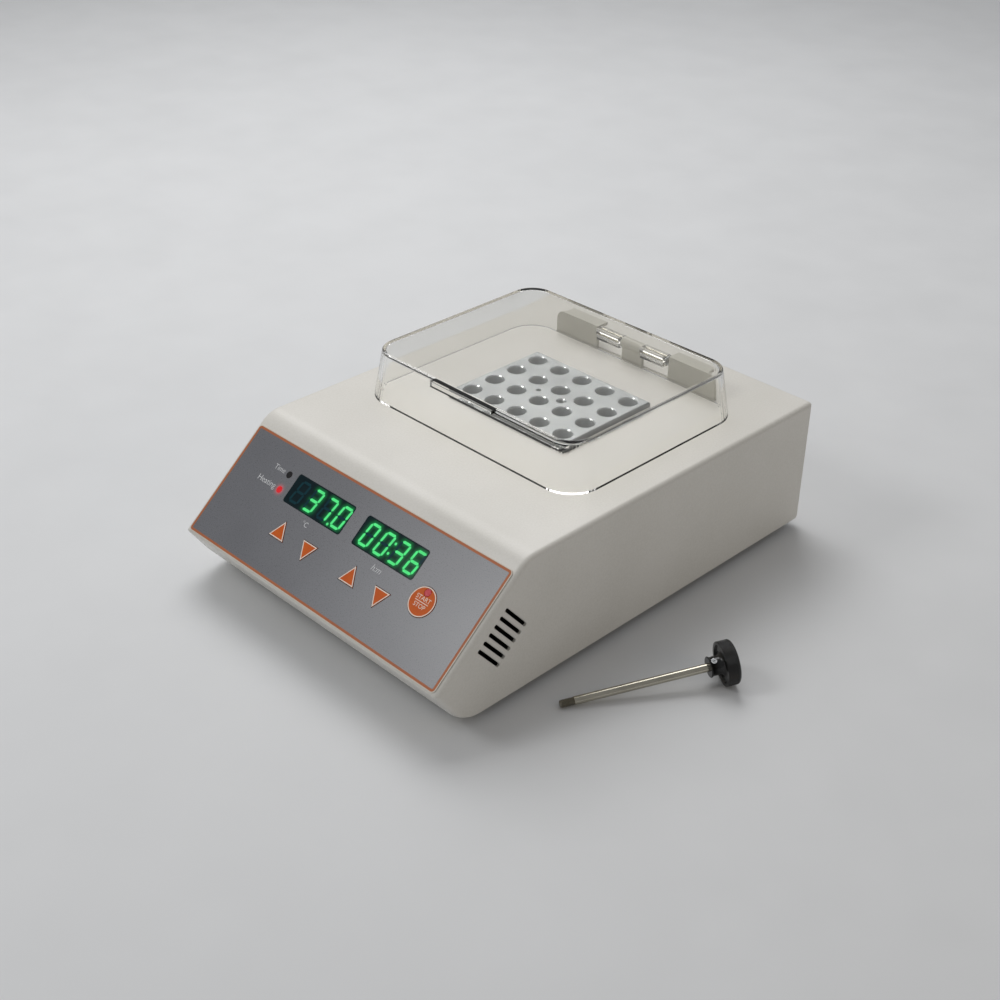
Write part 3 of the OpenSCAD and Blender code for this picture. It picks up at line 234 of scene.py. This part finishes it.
# Steel, zinc plated and passivated: grey, faintly mottled, brighter on rubbed edges.
ZINC_PLATE = surface("zinc_plated_steel", ("#A8ABAD", "#C0C2C3"), (0.26, 0.4), metallic=1.0, grain_mm=1.8,
                     patch_mm=14, edge_mm=0.15, wear="#D4D5D6")
# Stainless steel, drawn and polished: warm grey with streaks along its length, which lies along X for the pin and
# along the lifter for its rod.
DRAWN_STAINLESS, ROD_STAINLESS = (
    surface(name, ("#ABA698", "#BEB9AB"), (0.16, 0.26), metallic=1.0, grain_mm=0.4, stretch=(40, 1, 1),
            turn=(0, 0, heading), patch_mm=18, bump_mm=0.002, edge_mm=0.1)
    for name, heading in (("drawn_stainless_steel", 0), ("drawn_stainless_steel_rod", LIFTER_HEADING))
)
# Stainless steel, thread cut by a die: duller flanks, and a darker grey that paints the shade in the thread's
# grooves.
THREAD_PAINTED_SHADE_STEEL = surface("die_cut_stainless_painted_shade", ("#8C877A", "#9C978A"), (0.28, 0.42), metallic=1.0, grain_mm=0.4,
                     edge_mm=0)
# Steel set screw, black oxide worn to bare metal: bright.
SCREW_STEEL = surface("socket_screw_steel_bright", ("#D8D9DA", "#E6E7E8"), (0.18, 0.28), metallic=1.0, grain_mm=0.5,
                      edge_mm=0.1, wear="#F2F2F2")
# Nitrile rubber, moulded: near black, matt and dusty.
FOOT_RUBBER = surface("moulded_nitrile_rubber", ("#1A1A1A", "#262625"), (0.7, 0.85), grain_mm=0.8, bump_mm=0.02,
                      edge_mm=0.4, wear="#35342F")
# Silicone rubber, moulded in sheet: matt grey.
GREY_SILICONE = surface("moulded_silicone_grey", ("#4A4A4A", "#545454"), (0.6, 0.75), grain_mm=1.0, bump_mm=0.01)
# Silicone rubber, vulcanised round a heating wire: matt brick red.
HEATER_SILICONE = surface("vulcanised_silicone_brick", ("#9C4A2C", "#A85535"), (0.6, 0.75), grain_mm=1.0,
                          bump_mm=0.01)
# Glass-filled nylon, moulded: black, finely sparked, greyer on its edges.
BLACK_NYLON = surface("moulded_nylon_black", ("#1B1B1C", "#232324"), (0.42, 0.56), grain_mm=0.5, bump_mm=0.01,
                      edge_mm=0.3, wear="#3A3A3B")
# Phenolic resin, compression moulded: black, softly glossy, rubbed grey on the crests of its knurl.
PHENOLIC = surface("moulded_phenolic_black", ("#0F0F0F", "#161616"), (0.16, 0.26), grain_mm=0.5, bump_mm=0.006,
                   edge_mm=0.2, wear="#3C3C3A")
# Glass-epoxy board under solder mask: satin green.
SOLDER_MASK = surface("glass_epoxy_solder_mask", ("#1B5B38", "#226642"), (0.3, 0.4), grain_mm=0.7, bump_mm=0.006,
                      edge_mm=0.1)
# Mineral fibre, pressed: cream, matt and fibrous.
MINERAL_FIBRE = surface("pressed_mineral_fibre", ("#CFC6AC", "#E2DBC6"), (0.85, 0.95), grain_mm=1.5,
                        stretch=(2.5, 1, 0.5), detail=5, bump_mm=0.25, edge_mm=0.6)
# Silicon steel laminations, dipped in varnish: brown, with the sheets' edges showing.
LAMINATIONS = surface("varnished_steel_laminations", ("#4D3A22", "#6A5233"), (0.35, 0.5), grain_mm=0.6,
                      stretch=(20, 0.6, 20), bump_mm=0.03, edge_mm=0.2)
# Nylon, moulded: satin green.
GREEN_NYLON = surface("moulded_nylon_green", ("#2A7A3E", "#318546"), (0.4, 0.5), grain_mm=0.8, bump_mm=0.006)
# Brass, nickel flashed: a pale yellow metal.
PLATED_BRASS = surface("nickel_flashed_brass", ("#BFA873", "#CDB887"), (0.2, 0.3), metallic=1.0, edge_mm=0.3)


def clear_acrylic():
    """Acrylic, injection moulded: clear and glossy. Its faint warm smoke shows only where a wall is seen edge on,
    as an olive line. Lamps and bounced light pass it straight, so that what stands inside is lit once."""
    material, tree = new_material("moulded_clear_acrylic")
    place = add_node(tree, "ShaderNodeTexCoord").outputs["Object"]
    flow = add_node(tree, "ShaderNodeTexNoise", {"Scale": 1 / (30 * MM)}, Vector=place).outputs[0]
    polish = add_node(tree, "ShaderNodeMapRange", {"To Min": 0.01, "To Max": 0.03}, Value=flow).outputs[0]
    solid = add_node(tree, "ShaderNodeBsdfPrincipled", {
        "Base Color": hex_colour("#FFFFFE"), "Transmission Weight": 1.0, "IOR": 1.49}, Roughness=polish)
    through = add_node(tree, "ShaderNodeBsdfTransparent")
    ray = add_node(tree, "ShaderNodeLightPath").outputs
    unseen = add_node(tree, "ShaderNodeMath", {"operation": "MAXIMUM"}, n0=ray["Is Shadow Ray"],
                      n1=ray["Is Diffuse Ray"]).outputs[0]
    mixed = add_node(tree, "ShaderNodeMixShader", n0=unseen, n1=solid.outputs[0], n2=through.outputs[0])
    depth = add_node(tree, "ShaderNodeVolumeAbsorption", {"Color": hex_colour("#C9BF9F"), "Density": 12.0})
    add_node(tree, "ShaderNodeOutputMaterial", Surface=mixed.outputs[0], Volume=depth.outputs[0])
    return material


def drawn_glass():
    """Soda glass, drawn into a fuse tube: clear, faintly green."""
    material, tree = new_material("drawn_soda_glass")
    place = add_node(tree, "ShaderNodeTexCoord").outputs["Object"]
    flow = add_node(tree, "ShaderNodeTexNoise", {"Scale": 1 / (4 * MM)}, Vector=place).outputs[0]
    polish = add_node(tree, "ShaderNodeMapRange", {"To Min": 0.01, "To Max": 0.03}, Value=flow).outputs[0]
    shader = add_node(tree, "ShaderNodeBsdfPrincipled", {
        "Base Color": hex_colour("#EFF4F1"), "Transmission Weight": 1.0, "IOR": 1.5}, Roughness=polish)
    add_node(tree, "ShaderNodeOutputMaterial", Surface=shader.outputs[0])
    return material


FINISHES = (
    (POWDER_COAT, ["housing_cover", "rear_panel"]),
    (BRACKET_SHADED_COAT, ["hinge_bracket"]),
    (PANEL_FILM, ["keypad_overlay"]),
    (KEY_FILM, [*KEYS, "key_start_stop"]),
    (SMOKED_ACRYLIC, ["display_window_temp", "display_window_time"]),
    (LAMP_DARK, ["led_time"]),
    (LAMP_LIT, ["led_heating"]),
    (LAMP_DIM, ["led_run"]),
    (clear_acrylic(), ["lid"]),
    (BLASTED_ALUMINIUM, ["heat_block"]),
    (MILLED_ALUMINIUM, ["heated_well", "triac_heatsink"]),
    (ZINC_PLATE, ["base_plate", "foot_screws", "cover_screws", "rear_screws", "board_spacers", "board_screws",
                  "well_standoffs", "well_screws", "power_board_spacers", "power_board_screws", "inlet_screws",
                  "hinge_nuts", "hinge_clips", "fuse_caps"]),
    (DRAWN_STAINLESS, ["hinge_pin", "temperature_probe"]),
    (SCREW_STEEL, ["lifter_set_screw"]),
    (FOOT_RUBBER, ["rubber_feet"]),
    (GREY_SILICONE, ["well_gasket"]),
    (HEATER_SILICONE, ["heater_pad"]),
    (BLACK_NYLON, ["power_inlet", "fuse_drawer", "switch_frame", "power_rocker", "display_module_temp",
                   "display_module_time", "tact_switches", "thermal_cutout"]),
    (SOLDER_MASK, ["control_board", "power_board"]),
    (MINERAL_FIBRE, ["insulation_jacket"]),
    (LAMINATIONS, ["transformer"]),
    (GREEN_NYLON, ["terminal_block"]),
    (PLATED_BRASS, ["inlet_pins"]),
    (drawn_glass(), ["fuse_glass"]),
)


# ---- Shaping helpers ----

def smooth_by_angle(piece, degrees=32):
    """Shades a piece smooth, with its edges sharper than the angle kept crisp."""
    mesh = piece.data
    if mesh.has_custom_normals:
        with bpy.context.temp_override(object=piece, active_object=piece, mesh=mesh):
            bpy.ops.mesh.customdata_custom_splitnormals_clear()
    mesh.shade_smooth()
    mesh.set_sharp_from_angle(angle=math.radians(degrees))


def placed_piece(name, mesh, finish, body):
    """An object for a mesh that is in place already, riding on a body."""
    mesh.materials.clear()
    mesh.materials.append(finish)
    piece = bpy.data.objects.new(name, mesh)
    bpy.context.scene.collection.objects.link(piece)
    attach(piece, body)
    return piece


def mesh_piece(name, points, faces, finish, body, slot, place):
    """A piece from points in millimetres and faces, laid at place."""
    mesh = bpy.data.meshes.new(name)
    mesh.from_pydata([place @ Vector(p) for p in points], [], faces)
    mesh.validate()
    mesh.update()
    return placed_piece(name, mesh, finish, body)


def raised(outlines, low, high):
    """Points and faces of flat-topped prisms, one per outline, anticlockwise seen from above."""
    points, faces = [], []
    for outline in outlines:
        start, n = len(points), len(outline)
        points += [(x, y, low) for x, y in outline] + [(x, y, high) for x, y in outline]
        faces.append([start + n + i for i in range(n)])
        faces.append([start + i for i in reversed(range(n))])
        faces += [[start + i, start + (i + 1) % n, start + n + (i + 1) % n, start + n + i] for i in range(n)]
    return points, faces


def raised_ring(outer, inner, low, high):
    """Points and faces of a flat band between two outlines with as many points each."""
    n = len(outer)
    points = [(x, y, z) for z in (low, high) for ring in (outer, inner) for x, y in ring]
    faces = []
    for i in range(n):
        j = (i + 1) % n
        faces.append([2 * n + i, 2 * n + j, 3 * n + j, 3 * n + i])
        faces.append([j, i, n + i, n + j])
        faces.append([i, j, 2 * n + j, 2 * n + i])
        faces.append([n + j, n + i, 3 * n + i, 3 * n + j])
    return points, faces


def turned(rows, columns, radius=lambda r, z, turn: r):
    """Points and faces of a closed body turned about Z, from rows of (r, z). radius may cut a thread or a knurl,
    where turn is the share of a full turn."""
    points, faces = [], []
    for r, z in rows:
        for i in range(columns):
            turn = i / columns
            cut = radius(r, z, turn)
            points.append((cut * math.cos(2 * math.pi * turn), cut * math.sin(2 * math.pi * turn), z))
    for k in range(len(rows) - 1):
        for i in range(columns):
            j = (i + 1) % columns
            faces.append([k * columns + i, k * columns + j, (k + 1) * columns + j, (k + 1) * columns + i])
    faces.append([i for i in reversed(range(columns))])
    faces.append([(len(rows) - 1) * columns + i for i in range(columns)])
    return points, faces


def round_rect(cx, cy, w, h, r, steps=8):
    """Outline of a rectangle with round corners."""
    outline = []
    for k, (sx, sy) in enumerate(((1, 1), (-1, 1), (-1, -1), (1, -1))):
        for i in range(steps + 1):
            a = math.pi / 2 * (k + i / steps)
            outline.append((cx + sx * (w / 2 - r) + r * math.cos(a), cy + sy * (h / 2 - r) + r * math.sin(a)))
    return outline


def circle(cx, cy, r, steps=64):
    """Outline of a circle."""
    return [(cx + r * math.cos(2 * math.pi * i / steps), cy + r * math.sin(2 * math.pi * i / steps))
            for i in range(steps)]


def rectangle(cx, cy, w, h):
    """Outline of a rectangle."""
    return [(cx - w / 2, cy - h / 2), (cx + w / 2, cy - h / 2), (cx + w / 2, cy + h / 2), (cx - w / 2, cy + h / 2)]


for finish, names in FINISHES:
    for name in names:
        NODES[name].data.materials.clear()
        NODES[name].data.materials.append(finish)
        smooth_by_angle(NODES[name])


# ---- Prints on the panel ----

SLOPE = (
    Matrix.Translation((0, FRONT_Y * MM, NOSE_H * MM))
    @ Matrix.Rotation(SLOPE_ANGLE, 4, "X")
    @ Matrix.Scale(MM, 4)
)
INK_T = 0.03
HAIRLINE_W = 0.5
BORDER_W = 1.45
KEY_RIM = 0.6
# The edge band stands this far outside the film and starts this far above the slope, so that no faces coincide.
EDGE_COVER, EDGE_FOOT = 0.02, 0.05


def panel_border():
    """The film's pale cut edge, and the line printed just inside it."""
    edge, outer, inner = (
        round_rect(0, OVERLAY_MIDDLE, OVERLAY_W - 2 * inset, OVERLAY_L - 2 * inset, OVERLAY_R - inset)
        for inset in (-EDGE_COVER, HAIRLINE_W, HAIRLINE_W + BORDER_W)
    )
    mesh_piece("panel_edge", *raised_ring(edge, outer, EDGE_FOOT, OVERLAY_T + INK_T), FILM_EDGE, "housing",
               "overlay_film", SLOPE)
    mesh_piece("panel_border", *raised_ring(outer, inner, OVERLAY_T, OVERLAY_T + INK_T), BORDER_INK, "housing",
               "overlay_film", SLOPE)


def words(name, text, x, v, width, finish, body, face=OVERLAY_T, right=False, slant=0.0, thin=0.0):
    """Printed words, width wide, with their capitals centred on v, centred on x or, if right, ending there. The
    letters may be slanted, and thin moves their outlines, in share of their size."""
    curve = bpy.data.curves.new(name, "FONT")
    curve.body = text
    curve.shear = slant
    curve.extrude = INK_T / 2
    curve.offset = thin
    curve.resolution_u = 4
    holder = bpy.data.objects.new(name + "_curve", curve)
    bpy.context.scene.collection.objects.link(holder)
    bpy.context.view_layer.update()
    mesh = bpy.data.meshes.new_from_object(holder.evaluated_get(bpy.context.evaluated_depsgraph_get()))
    bpy.data.objects.remove(holder)
    xs = [p.co.x for p in mesh.vertices]
    top = max(p.co.y for p in mesh.vertices)
    scale = width / (max(xs) - min(xs))
    shift = x - scale * (max(xs) if right else (max(xs) + min(xs)) / 2)
    mesh.transform(
        SLOPE
        @ Matrix.Translation((shift, v - scale * top / 2, face + INK_T / 2))
        @ Matrix.Diagonal((scale, scale, 1, 1))
    )
    return placed_piece(name, mesh, finish, body)


def panel_words():
    """The units under the displays and the names of the two lamps."""
    for name, text, x, v, width, right, slant in (
        ("unit_temperature", "°C", -31.9, 40.2, 4.4, False, 0.0),
        ("unit_time", "h:m", 30.4, 40.1, 7.5, False, 0.25),
        ("word_time", "Time", -68.4, 60.2, 9.4, True, 0.0),
        ("word_heating", "Heating", -68.4, 49.9, 15.8, True, 0.0),
    ):
        words(name, text, x, v, width, LETTER_INK, "housing", right=right, slant=slant, thin=-0.008)


def triangle(x, v, direction, inset):
    """Outline of a key's triangle, moved in by inset on every side."""
    half, side = KEY_W / 2, math.hypot(KEY_W / 2, KEY_H)
    base = inset * (side + half) / KEY_H
    outline = [(-half + base, inset), (half - base, inset), (0, KEY_H - inset * side / half)]
    laid = [(x + px, v + direction * py) for px, py in outline]
    return laid if direction > 0 else laid[::-1]


def key_prints():
    """Cream outlines round the keys' faces, and the round key's words."""
    ink = (KEY_FACE, KEY_FACE + INK_T)
    for name, (x, v, direction) in KEYS.items():
        rim = raised_ring(triangle(x, v, direction, 0), triangle(x, v, direction, KEY_RIM), *ink)
        mesh_piece(name + "_rim", *rim, RIM_INK, name.replace("key_", ""), "key_orange", SLOPE)
    x, v = START_KEY_X, START_KEY_V
    rim = raised_ring(circle(x, v, START_KEY_R), circle(x, v, START_KEY_R - KEY_RIM), *ink)
    mesh_piece("key_start_rim", *rim, RIM_INK, "start_stop", "key_orange", SLOPE)
    bar = raised([rectangle(x, v - 0.3, 10.0, 0.4)], *ink)
    mesh_piece("key_start_bar", *bar, RIM_INK, "start_stop", "key_orange", SLOPE)
    words("key_start_word", "START", x, v + 1.9, 10.6, RIM_INK, "start_stop", KEY_FACE)
    words("key_stop_word", "STOP", x, v - 2.5, 8.4, RIM_INK, "start_stop", KEY_FACE)


panel_border()
panel_words()
key_prints()


# ---- Displays and lamps ----

DIGIT_H, DIGIT_W, DIGIT_PITCH = 14.9, 8.3, 12.4
DIGIT_V = WINDOW_V - 0.25
SEGMENT_W = 1.6
SEGMENT_GAP = 0.15
SLANT = math.tan(math.radians(8))
DOT_R = 0.85
# Heights above the film: the haze lies lowest, then unlit segments, then lit ones.
HAZE_UP, SEGMENT_UP, UNLIT_T, LIT_T = 0.015, 0.02, 0.02, 0.03
LIT = {
    "0": "abcdef", "1": "bc", "2": "abdeg", "3": "abcdg", "4": "bcfg", "5": "acdfg", "6": "acdefg", "7": "abc",
    "8": "abcdefg", "9": "abcdfg", " ": "",
}
GLOW_STEP, GLOW_FALL = 0.5, 1.3


def segment_outlines(cx, cy):
    """Outlines of a digit's seven segments about a centre: bars with pointed ends, slanted."""
    w, h, half = (DIGIT_W - SEGMENT_W) / 2, (DIGIT_H - SEGMENT_W) / 2, SEGMENT_W / 2
    flat = {"a": (0, h), "g": (0, 0), "d": (0, -h)}
    upright = {"b": (w, h / 2), "c": (w, -h / 2), "e": (-w, -h / 2), "f": (-w, h / 2)}
    outlines = {}
    for k, (x, y) in {**flat, **upright}.items():
        reach = (w if k in flat else h / 2) - SEGMENT_GAP
        bar = [(-reach, 0), (-reach + half, -half), (reach - half, -half), (reach, 0), (reach - half, half),
               (-reach + half, half)]
        if k in upright:
            bar = [(-py, px) for px, py in bar]
        outlines[k] = [(cx + x + px + SLANT * (y + py), cy + y + py) for px, py in bar]
    return outlines


def distance_to(outline, x, y):
    """Distance from a point to an outline's edge."""
    best = math.inf
    for (ax, ay), (bx, by) in zip(outline, outline[1:] + outline[:1]):
        dx, dy = bx - ax, by - ay
        t = max(0, min(1, ((x - ax) * dx + (y - ay) * dy) / (dx * dx + dy * dy)))
        best = min(best, math.hypot(x - ax - t * dx, y - ay - t * dy))
    return best


def glow_sheet(name, middle, size, height, sources, reach, finish, slot):
    """A fine grid on the panel whose glow falls away from lit outlines over about reach."""
    nx, ny = (int(s / GLOW_STEP) for s in size)
    points, levels = [], []
    for j in range(ny + 1):
        for i in range(nx + 1):
            x = middle[0] + (i - nx / 2) * GLOW_STEP
            y = middle[1] + (j - ny / 2) * GLOW_STEP
            points.append((x, y, height))
            levels.append(math.exp(-((min(distance_to(s, x, y) for s in sources) / reach) ** GLOW_FALL)))
    faces = [
        [j * (nx + 1) + i, j * (nx + 1) + i + 1, (j + 1) * (nx + 1) + i + 1, (j + 1) * (nx + 1) + i]
        for j in range(ny) for i in range(nx)
    ]
    piece = mesh_piece(name, points, faces, finish, "housing", slot, SLOPE)
    piece.data.attributes.new("glow", "FLOAT", "POINT").data.foreach_set("value", levels)


def display(name, middle, digits_middle, text, dots):
    """Lit and unlit segments over one window, four digits and dots, with the light that bleeds round the lit."""
    lit, unlit = [], []
    for i, mark in enumerate(text):
        for k, outline in segment_outlines(digits_middle + (i - 1.5) * DIGIT_PITCH, DIGIT_V).items():
            (lit if k in LIT[mark] else unlit).append(outline)
    lit += [circle(x, v, DOT_R, 16) for x, v in dots]
    face = OVERLAY_T + SEGMENT_UP
    for part, outlines, finish, height in (
        ("lit", lit, LIT_SEGMENT, LIT_T),
        ("unlit", unlit, UNLIT_SEGMENT, UNLIT_T),
    ):
        mesh_piece(f"{name}_{part}_segments", *raised(outlines, face, face + height), finish, "housing",
                   "display_lens", SLOPE)
    glow_sheet(name + "_glow", (middle, WINDOW_V), (WINDOW_W - 1, WINDOW_H - 1), OVERLAY_T + HAZE_UP, lit, 1.3,
               GLOW_FACE, "display_lens")


display("display_temp", WINDOWS["temp"], -30.2, " 370", [(-18.0, 46.9)])
display("display_time", WINDOWS["time"], 31.2, "0036", [(31.8, 57.3), (30.9, 50.7)])
# Painted glow: the heating lamp's red light on the film round it, fading with distance.
glow_sheet("heating_lamp_painted_glow", HEATING_LED, (9, 9), OVERLAY_T + 0.01, [circle(*HEATING_LED, 2.1, 24)], 1.0,
           PAINTED_LAMP_GLOW, "overlay_film")


# ---- Rear switch ----

MARK_H, MARK_T, MARK_OUT = 3.8, 0.06, 3.95


def switch_marks():
    """A bar for on and a ring for off, on the rocker's two faces."""
    tilt = math.atan2(ROCKER_DIP, ROCKER_HALF)
    bar = raised([rectangle(0, 0, 0.6, MARK_H)], 0, MARK_T)
    ring = raised_ring(circle(0, 0, MARK_H / 2, 32), circle(0, 0, 1.35, 32), 0, MARK_T)
    for name, side, shape in (("mark_on", 1, bar), ("mark_off", -1, ring)):
        place = (
            Matrix.Scale(MM, 4)
            @ Matrix.Translation(ROCKER_PIVOT)
            @ Matrix.Rotation(ROCKER_TURN + side * tilt, 4, "Z")
            @ Matrix.Translation((side * MARK_OUT, ROCKER_FACE * math.cos(tilt), 0))
            @ Matrix.Rotation(-math.pi / 2, 4, "X")
        )
        mesh_piece(name, *shape, SWITCH_INK, "rocker", "black_nylon", place)


switch_marks()


# ---- Block lifter ----

TILT = math.atan((KNOB_R - ROD_R) / (ROD_LEN + HUB_LEN))
LIFTER = (
    Matrix.Scale(MM, 4)
    @ Matrix.Translation((*LIFTER_TIP, ROD_R * math.cos(TILT)))
    @ Matrix.Rotation(LIFTER_HEADING, 4, "Z")
    @ Matrix.Rotation(math.pi / 2 - TILT, 4, "Y")
)
THREAD_PITCH, THREAD_DEPTH, THREAD_STEP = 0.8, 0.42, 0.1
KNURL_TEETH, KNURL_LEAD, KNURL_DEPTH, KNURL_ROWS = 80, 1.7, 0.45, 30
NECK_R = HUB_R - 0.6
FLARE_R = 3.0
EDGE_R = 1.6


def saw(x):
    """1 at whole numbers, falling to 0 halfway between."""
    return 2 * abs(x % 1 - 0.5)


def threaded_rod():
    """The lifter's rod, with a real helical thread at its tip."""
    def thread(r, z, turn):
        return min(r - THREAD_DEPTH * saw(z / THREAD_PITCH - turn), 1.5 + z) if z < THREAD_LEN else r

    steps = int(THREAD_LEN / THREAD_STEP)
    rows = [(ROD_R - 0.05, THREAD_LEN * k / steps) for k in range(steps)]
    rows += [(ROD_R - THREAD_DEPTH, THREAD_LEN), (ROD_R, THREAD_LEN + 0.25), (ROD_R, ROD_LEN + ROD_IN_KNOB)]
    piece = mesh_piece("threaded_rod", *turned(rows, 48, thread), ROD_STAINLESS, "lifter", "stainless_steel", LIFTER)
    # The thread's faces take the darker grey: painted shade for its grooves.
    piece.data.materials.append(THREAD_PAINTED_SHADE_STEEL)
    upright = LIFTER.inverted()
    for face in piece.data.polygons:
        if (upright @ face.center).z < THREAD_LEN:
            face.material_index = 1
    smooth_by_angle(piece)
    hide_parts("lifter_rod")


def screw_place(along, turn):
    """Where a set screw's axis crosses the rod's, with X along the screw."""
    return LIFTER @ Matrix.Translation((0, 0, ROD_LEN + along)) @ Matrix.Rotation(turn, 4, "Z")


def second_set_screw():
    """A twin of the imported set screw, further round the hub, in the hole bored for it."""
    mesh = NODES["lifter_set_screw"].data.copy()
    mesh.transform(screw_place(*SCREWS[1]) @ screw_place(*SCREWS[0]).inverted())
    placed_piece("second_set_screw", mesh, SCREW_STEEL, "lifter")


def knurled_knob():
    """The lifter's knob: a hub with its lip, a flare, and a disc with a diamond knurl, bored for its set screws."""
    low, high = ROD_LEN + HUB_LEN, ROD_LEN + HUB_LEN + DISC_T
    arcs = [math.radians(a) for a in range(0, 91, 10)]
    rows = [(HUB_R - 0.3, ROD_LEN), (HUB_R, ROD_LEN + 0.3), (HUB_R, ROD_LEN + 0.6), (NECK_R, ROD_LEN + 1.4)]
    rows += [(NECK_R + FLARE_R * (1 - math.cos(a)), low - 2 + FLARE_R * math.sin(a)) for a in arcs]
    rows += [(KNOB_R - 2.4, low + 1), (KNOB_R - 2, low), (KNOB_R - 0.5, low)]
    knurled = [low + 0.1 + (DISC_T - EDGE_R - 0.3) * k / KNURL_ROWS for k in range(KNURL_ROWS + 1)]
    rows += [(KNOB_R, z) for z in knurled]
    rows += [(KNOB_R - EDGE_R * (1 - math.cos(a)), high - EDGE_R + EDGE_R * math.sin(a)) for a in arcs[1:7]]
    rows += [(KNOB_R - 3, high), (2.0, high)]

    def knurl(r, z, turn):
        if r < KNOB_R or not knurled[0] <= z <= knurled[-1]:
            return r
        across = turn * KNURL_TEETH
        return r - KNURL_DEPTH * (1 - min(saw(across + z / KNURL_LEAD), saw(across - z / KNURL_LEAD)))

    knob = mesh_piece("knurled_knob", *turned(rows, 6 * KNURL_TEETH, knurl), PHENOLIC, "lifter", "black_phenolic",
                      LIFTER)
    hole_r = SCREW_D / 2 + 0.05
    points, faces = turned([(hole_r, ROD_R), (hole_r, HUB_R + 2)], 32)
    drills = []
    for along, turn in SCREWS:
        place = screw_place(along, turn) @ Matrix.Rotation(math.pi / 2, 4, "Y")
        mesh = bpy.data.meshes.new("screw_hole")
        mesh.from_pydata([place @ Vector(p) for p in points], [], faces)
        drills.append(bpy.data.objects.new("screw_hole", mesh))
        bpy.context.scene.collection.objects.link(drills[-1])
        cut = knob.modifiers.new("screw_hole", "BOOLEAN")
        cut.object, cut.operation, cut.solver = drills[-1], "DIFFERENCE", "EXACT"
    bpy.context.view_layer.update()
    bored = bpy.data.meshes.new_from_object(knob.evaluated_get(bpy.context.evaluated_depsgraph_get()))
    knob.modifiers.clear()
    knob.data = bored
    for drill in drills:
        bpy.data.objects.remove(drill)
    smooth_by_angle(knob, 40)
    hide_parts("lifter_knob")


threaded_rod()
knurled_knob()
second_set_screw()


# ---- Tube block: bright countersinks and dull bores ----

BLOCK_EDGE, COUNTERSINK = 1.2, 0.9


def dress_block():
    """Puts the cut finish on the wells' countersinks and the dull one inside the wells."""
    block = NODES["heat_block"]
    low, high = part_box("heat_block")
    block.data.materials.append(CUT_ALUMINIUM)
    block.data.materials.append(BORED_ALUMINIUM)
    for face in block.data.polygons:
        x, y, z = face.center
        near_side = min(x - low.x, high.x - x, y - low.y, high.y - y)
        if near_side > BLOCK_EDGE * MM and face.normal.z < 0.95:
            face.material_index = 1 if high.z - z < COUNTERSINK * MM else 2


dress_block()


# ---- Floor, light and camera, in metres ----

FLOOR_REACH = 6.0
SENSOR_W = 36.0
# Focal length over the frame's width.
FOCAL_SHARE = 1.5395
CAMERA_PLACE = (0.56756, -0.56725, 0.53322)
# Yaw, pitch and roll, in radians.
CAMERA_TURNS = (-0.788, -0.555, 0.013)


def floor():
    """Paper sweep, matt: plain and pale."""
    finish = surface("paper_pale", ("#DADBDC", "#DEDFE0"), (0.6, 0.7), grain_mm=60, patch_mm=400, edge_mm=0,
                     settings={"Specular IOR Level": 0.3})
    corners = [(x, y, 0) for x, y in rectangle(0, 0, 2 * FLOOR_REACH, 2 * FLOOR_REACH)]
    mesh = bpy.data.meshes.new("floor")
    mesh.from_pydata(corners, [], [[0, 1, 2, 3]])
    mesh.materials.append(finish)
    piece = bpy.data.objects.new("floor", mesh)
    bpy.context.scene.collection.objects.link(piece)


def sky(strength):
    """Even light from all round, a touch cool."""
    world = bpy.data.worlds.new("studio")
    bpy.context.scene.world = world
    world.use_nodes = True
    background = world.node_tree.nodes["Background"]
    background.inputs["Color"].default_value = hex_colour("#F4F5F7")
    background.inputs["Strength"].default_value = strength


def soft_box(name, place, target, size, watts, code="#FFFFFF"):
    """A rectangular lamp at place, facing target."""
    lamp = bpy.data.lights.new(name, "AREA")
    lamp.shape = "RECTANGLE"
    lamp.size, lamp.size_y = size
    lamp.energy = watts
    lamp.color = hex_colour(code)[:3]
    piece = bpy.data.objects.new(name, lamp)
    piece.location = place
    piece.rotation_euler = (Vector(target) - Vector(place)).to_track_quat("-Z", "Y").to_euler()
    bpy.context.scene.collection.objects.link(piece)


def camera():
    """Three-quarter view from the front right, above."""
    data = bpy.data.cameras.new("camera")
    data.sensor_width = SENSOR_W
    data.lens = SENSOR_W * FOCAL_SHARE
    piece = bpy.data.objects.new("camera", data)
    yaw, pitch, roll = CAMERA_TURNS
    forward = Vector((math.sin(yaw) * math.cos(pitch), math.cos(yaw) * math.cos(pitch), math.sin(pitch)))
    right = forward.cross(Vector((0, 0, 1))).normalized()
    up = right.cross(forward)
    right, up = right * math.cos(roll) + up * math.sin(roll), up * math.cos(roll) - right * math.sin(roll)
    turn = Matrix((right, up, -forward)).transposed().to_4x4()
    piece.matrix_world = Matrix.Translation(CAMERA_PLACE) @ turn
    bpy.context.scene.collection.objects.link(piece)
    bpy.context.scene.camera = piece


floor()
sky(0.33)
soft_box("key_lamp", (-0.75, 0.5, 1.3), (0, 0, 0.05), (1.1, 1.1), 13)
soft_box("panel_lamp", (-0.644, -0.925, 1.083), (0, -0.1, 0.05), (0.45, 0.45), 4.0)
soft_box("side_lamp", (1.6, 0.3, 0.7), (0, 0, 0.05), (0.8, 0.6), 1.05, "#FFE0AC")
camera()
bpy.context.scene.view_settings.view_transform = "Standard"
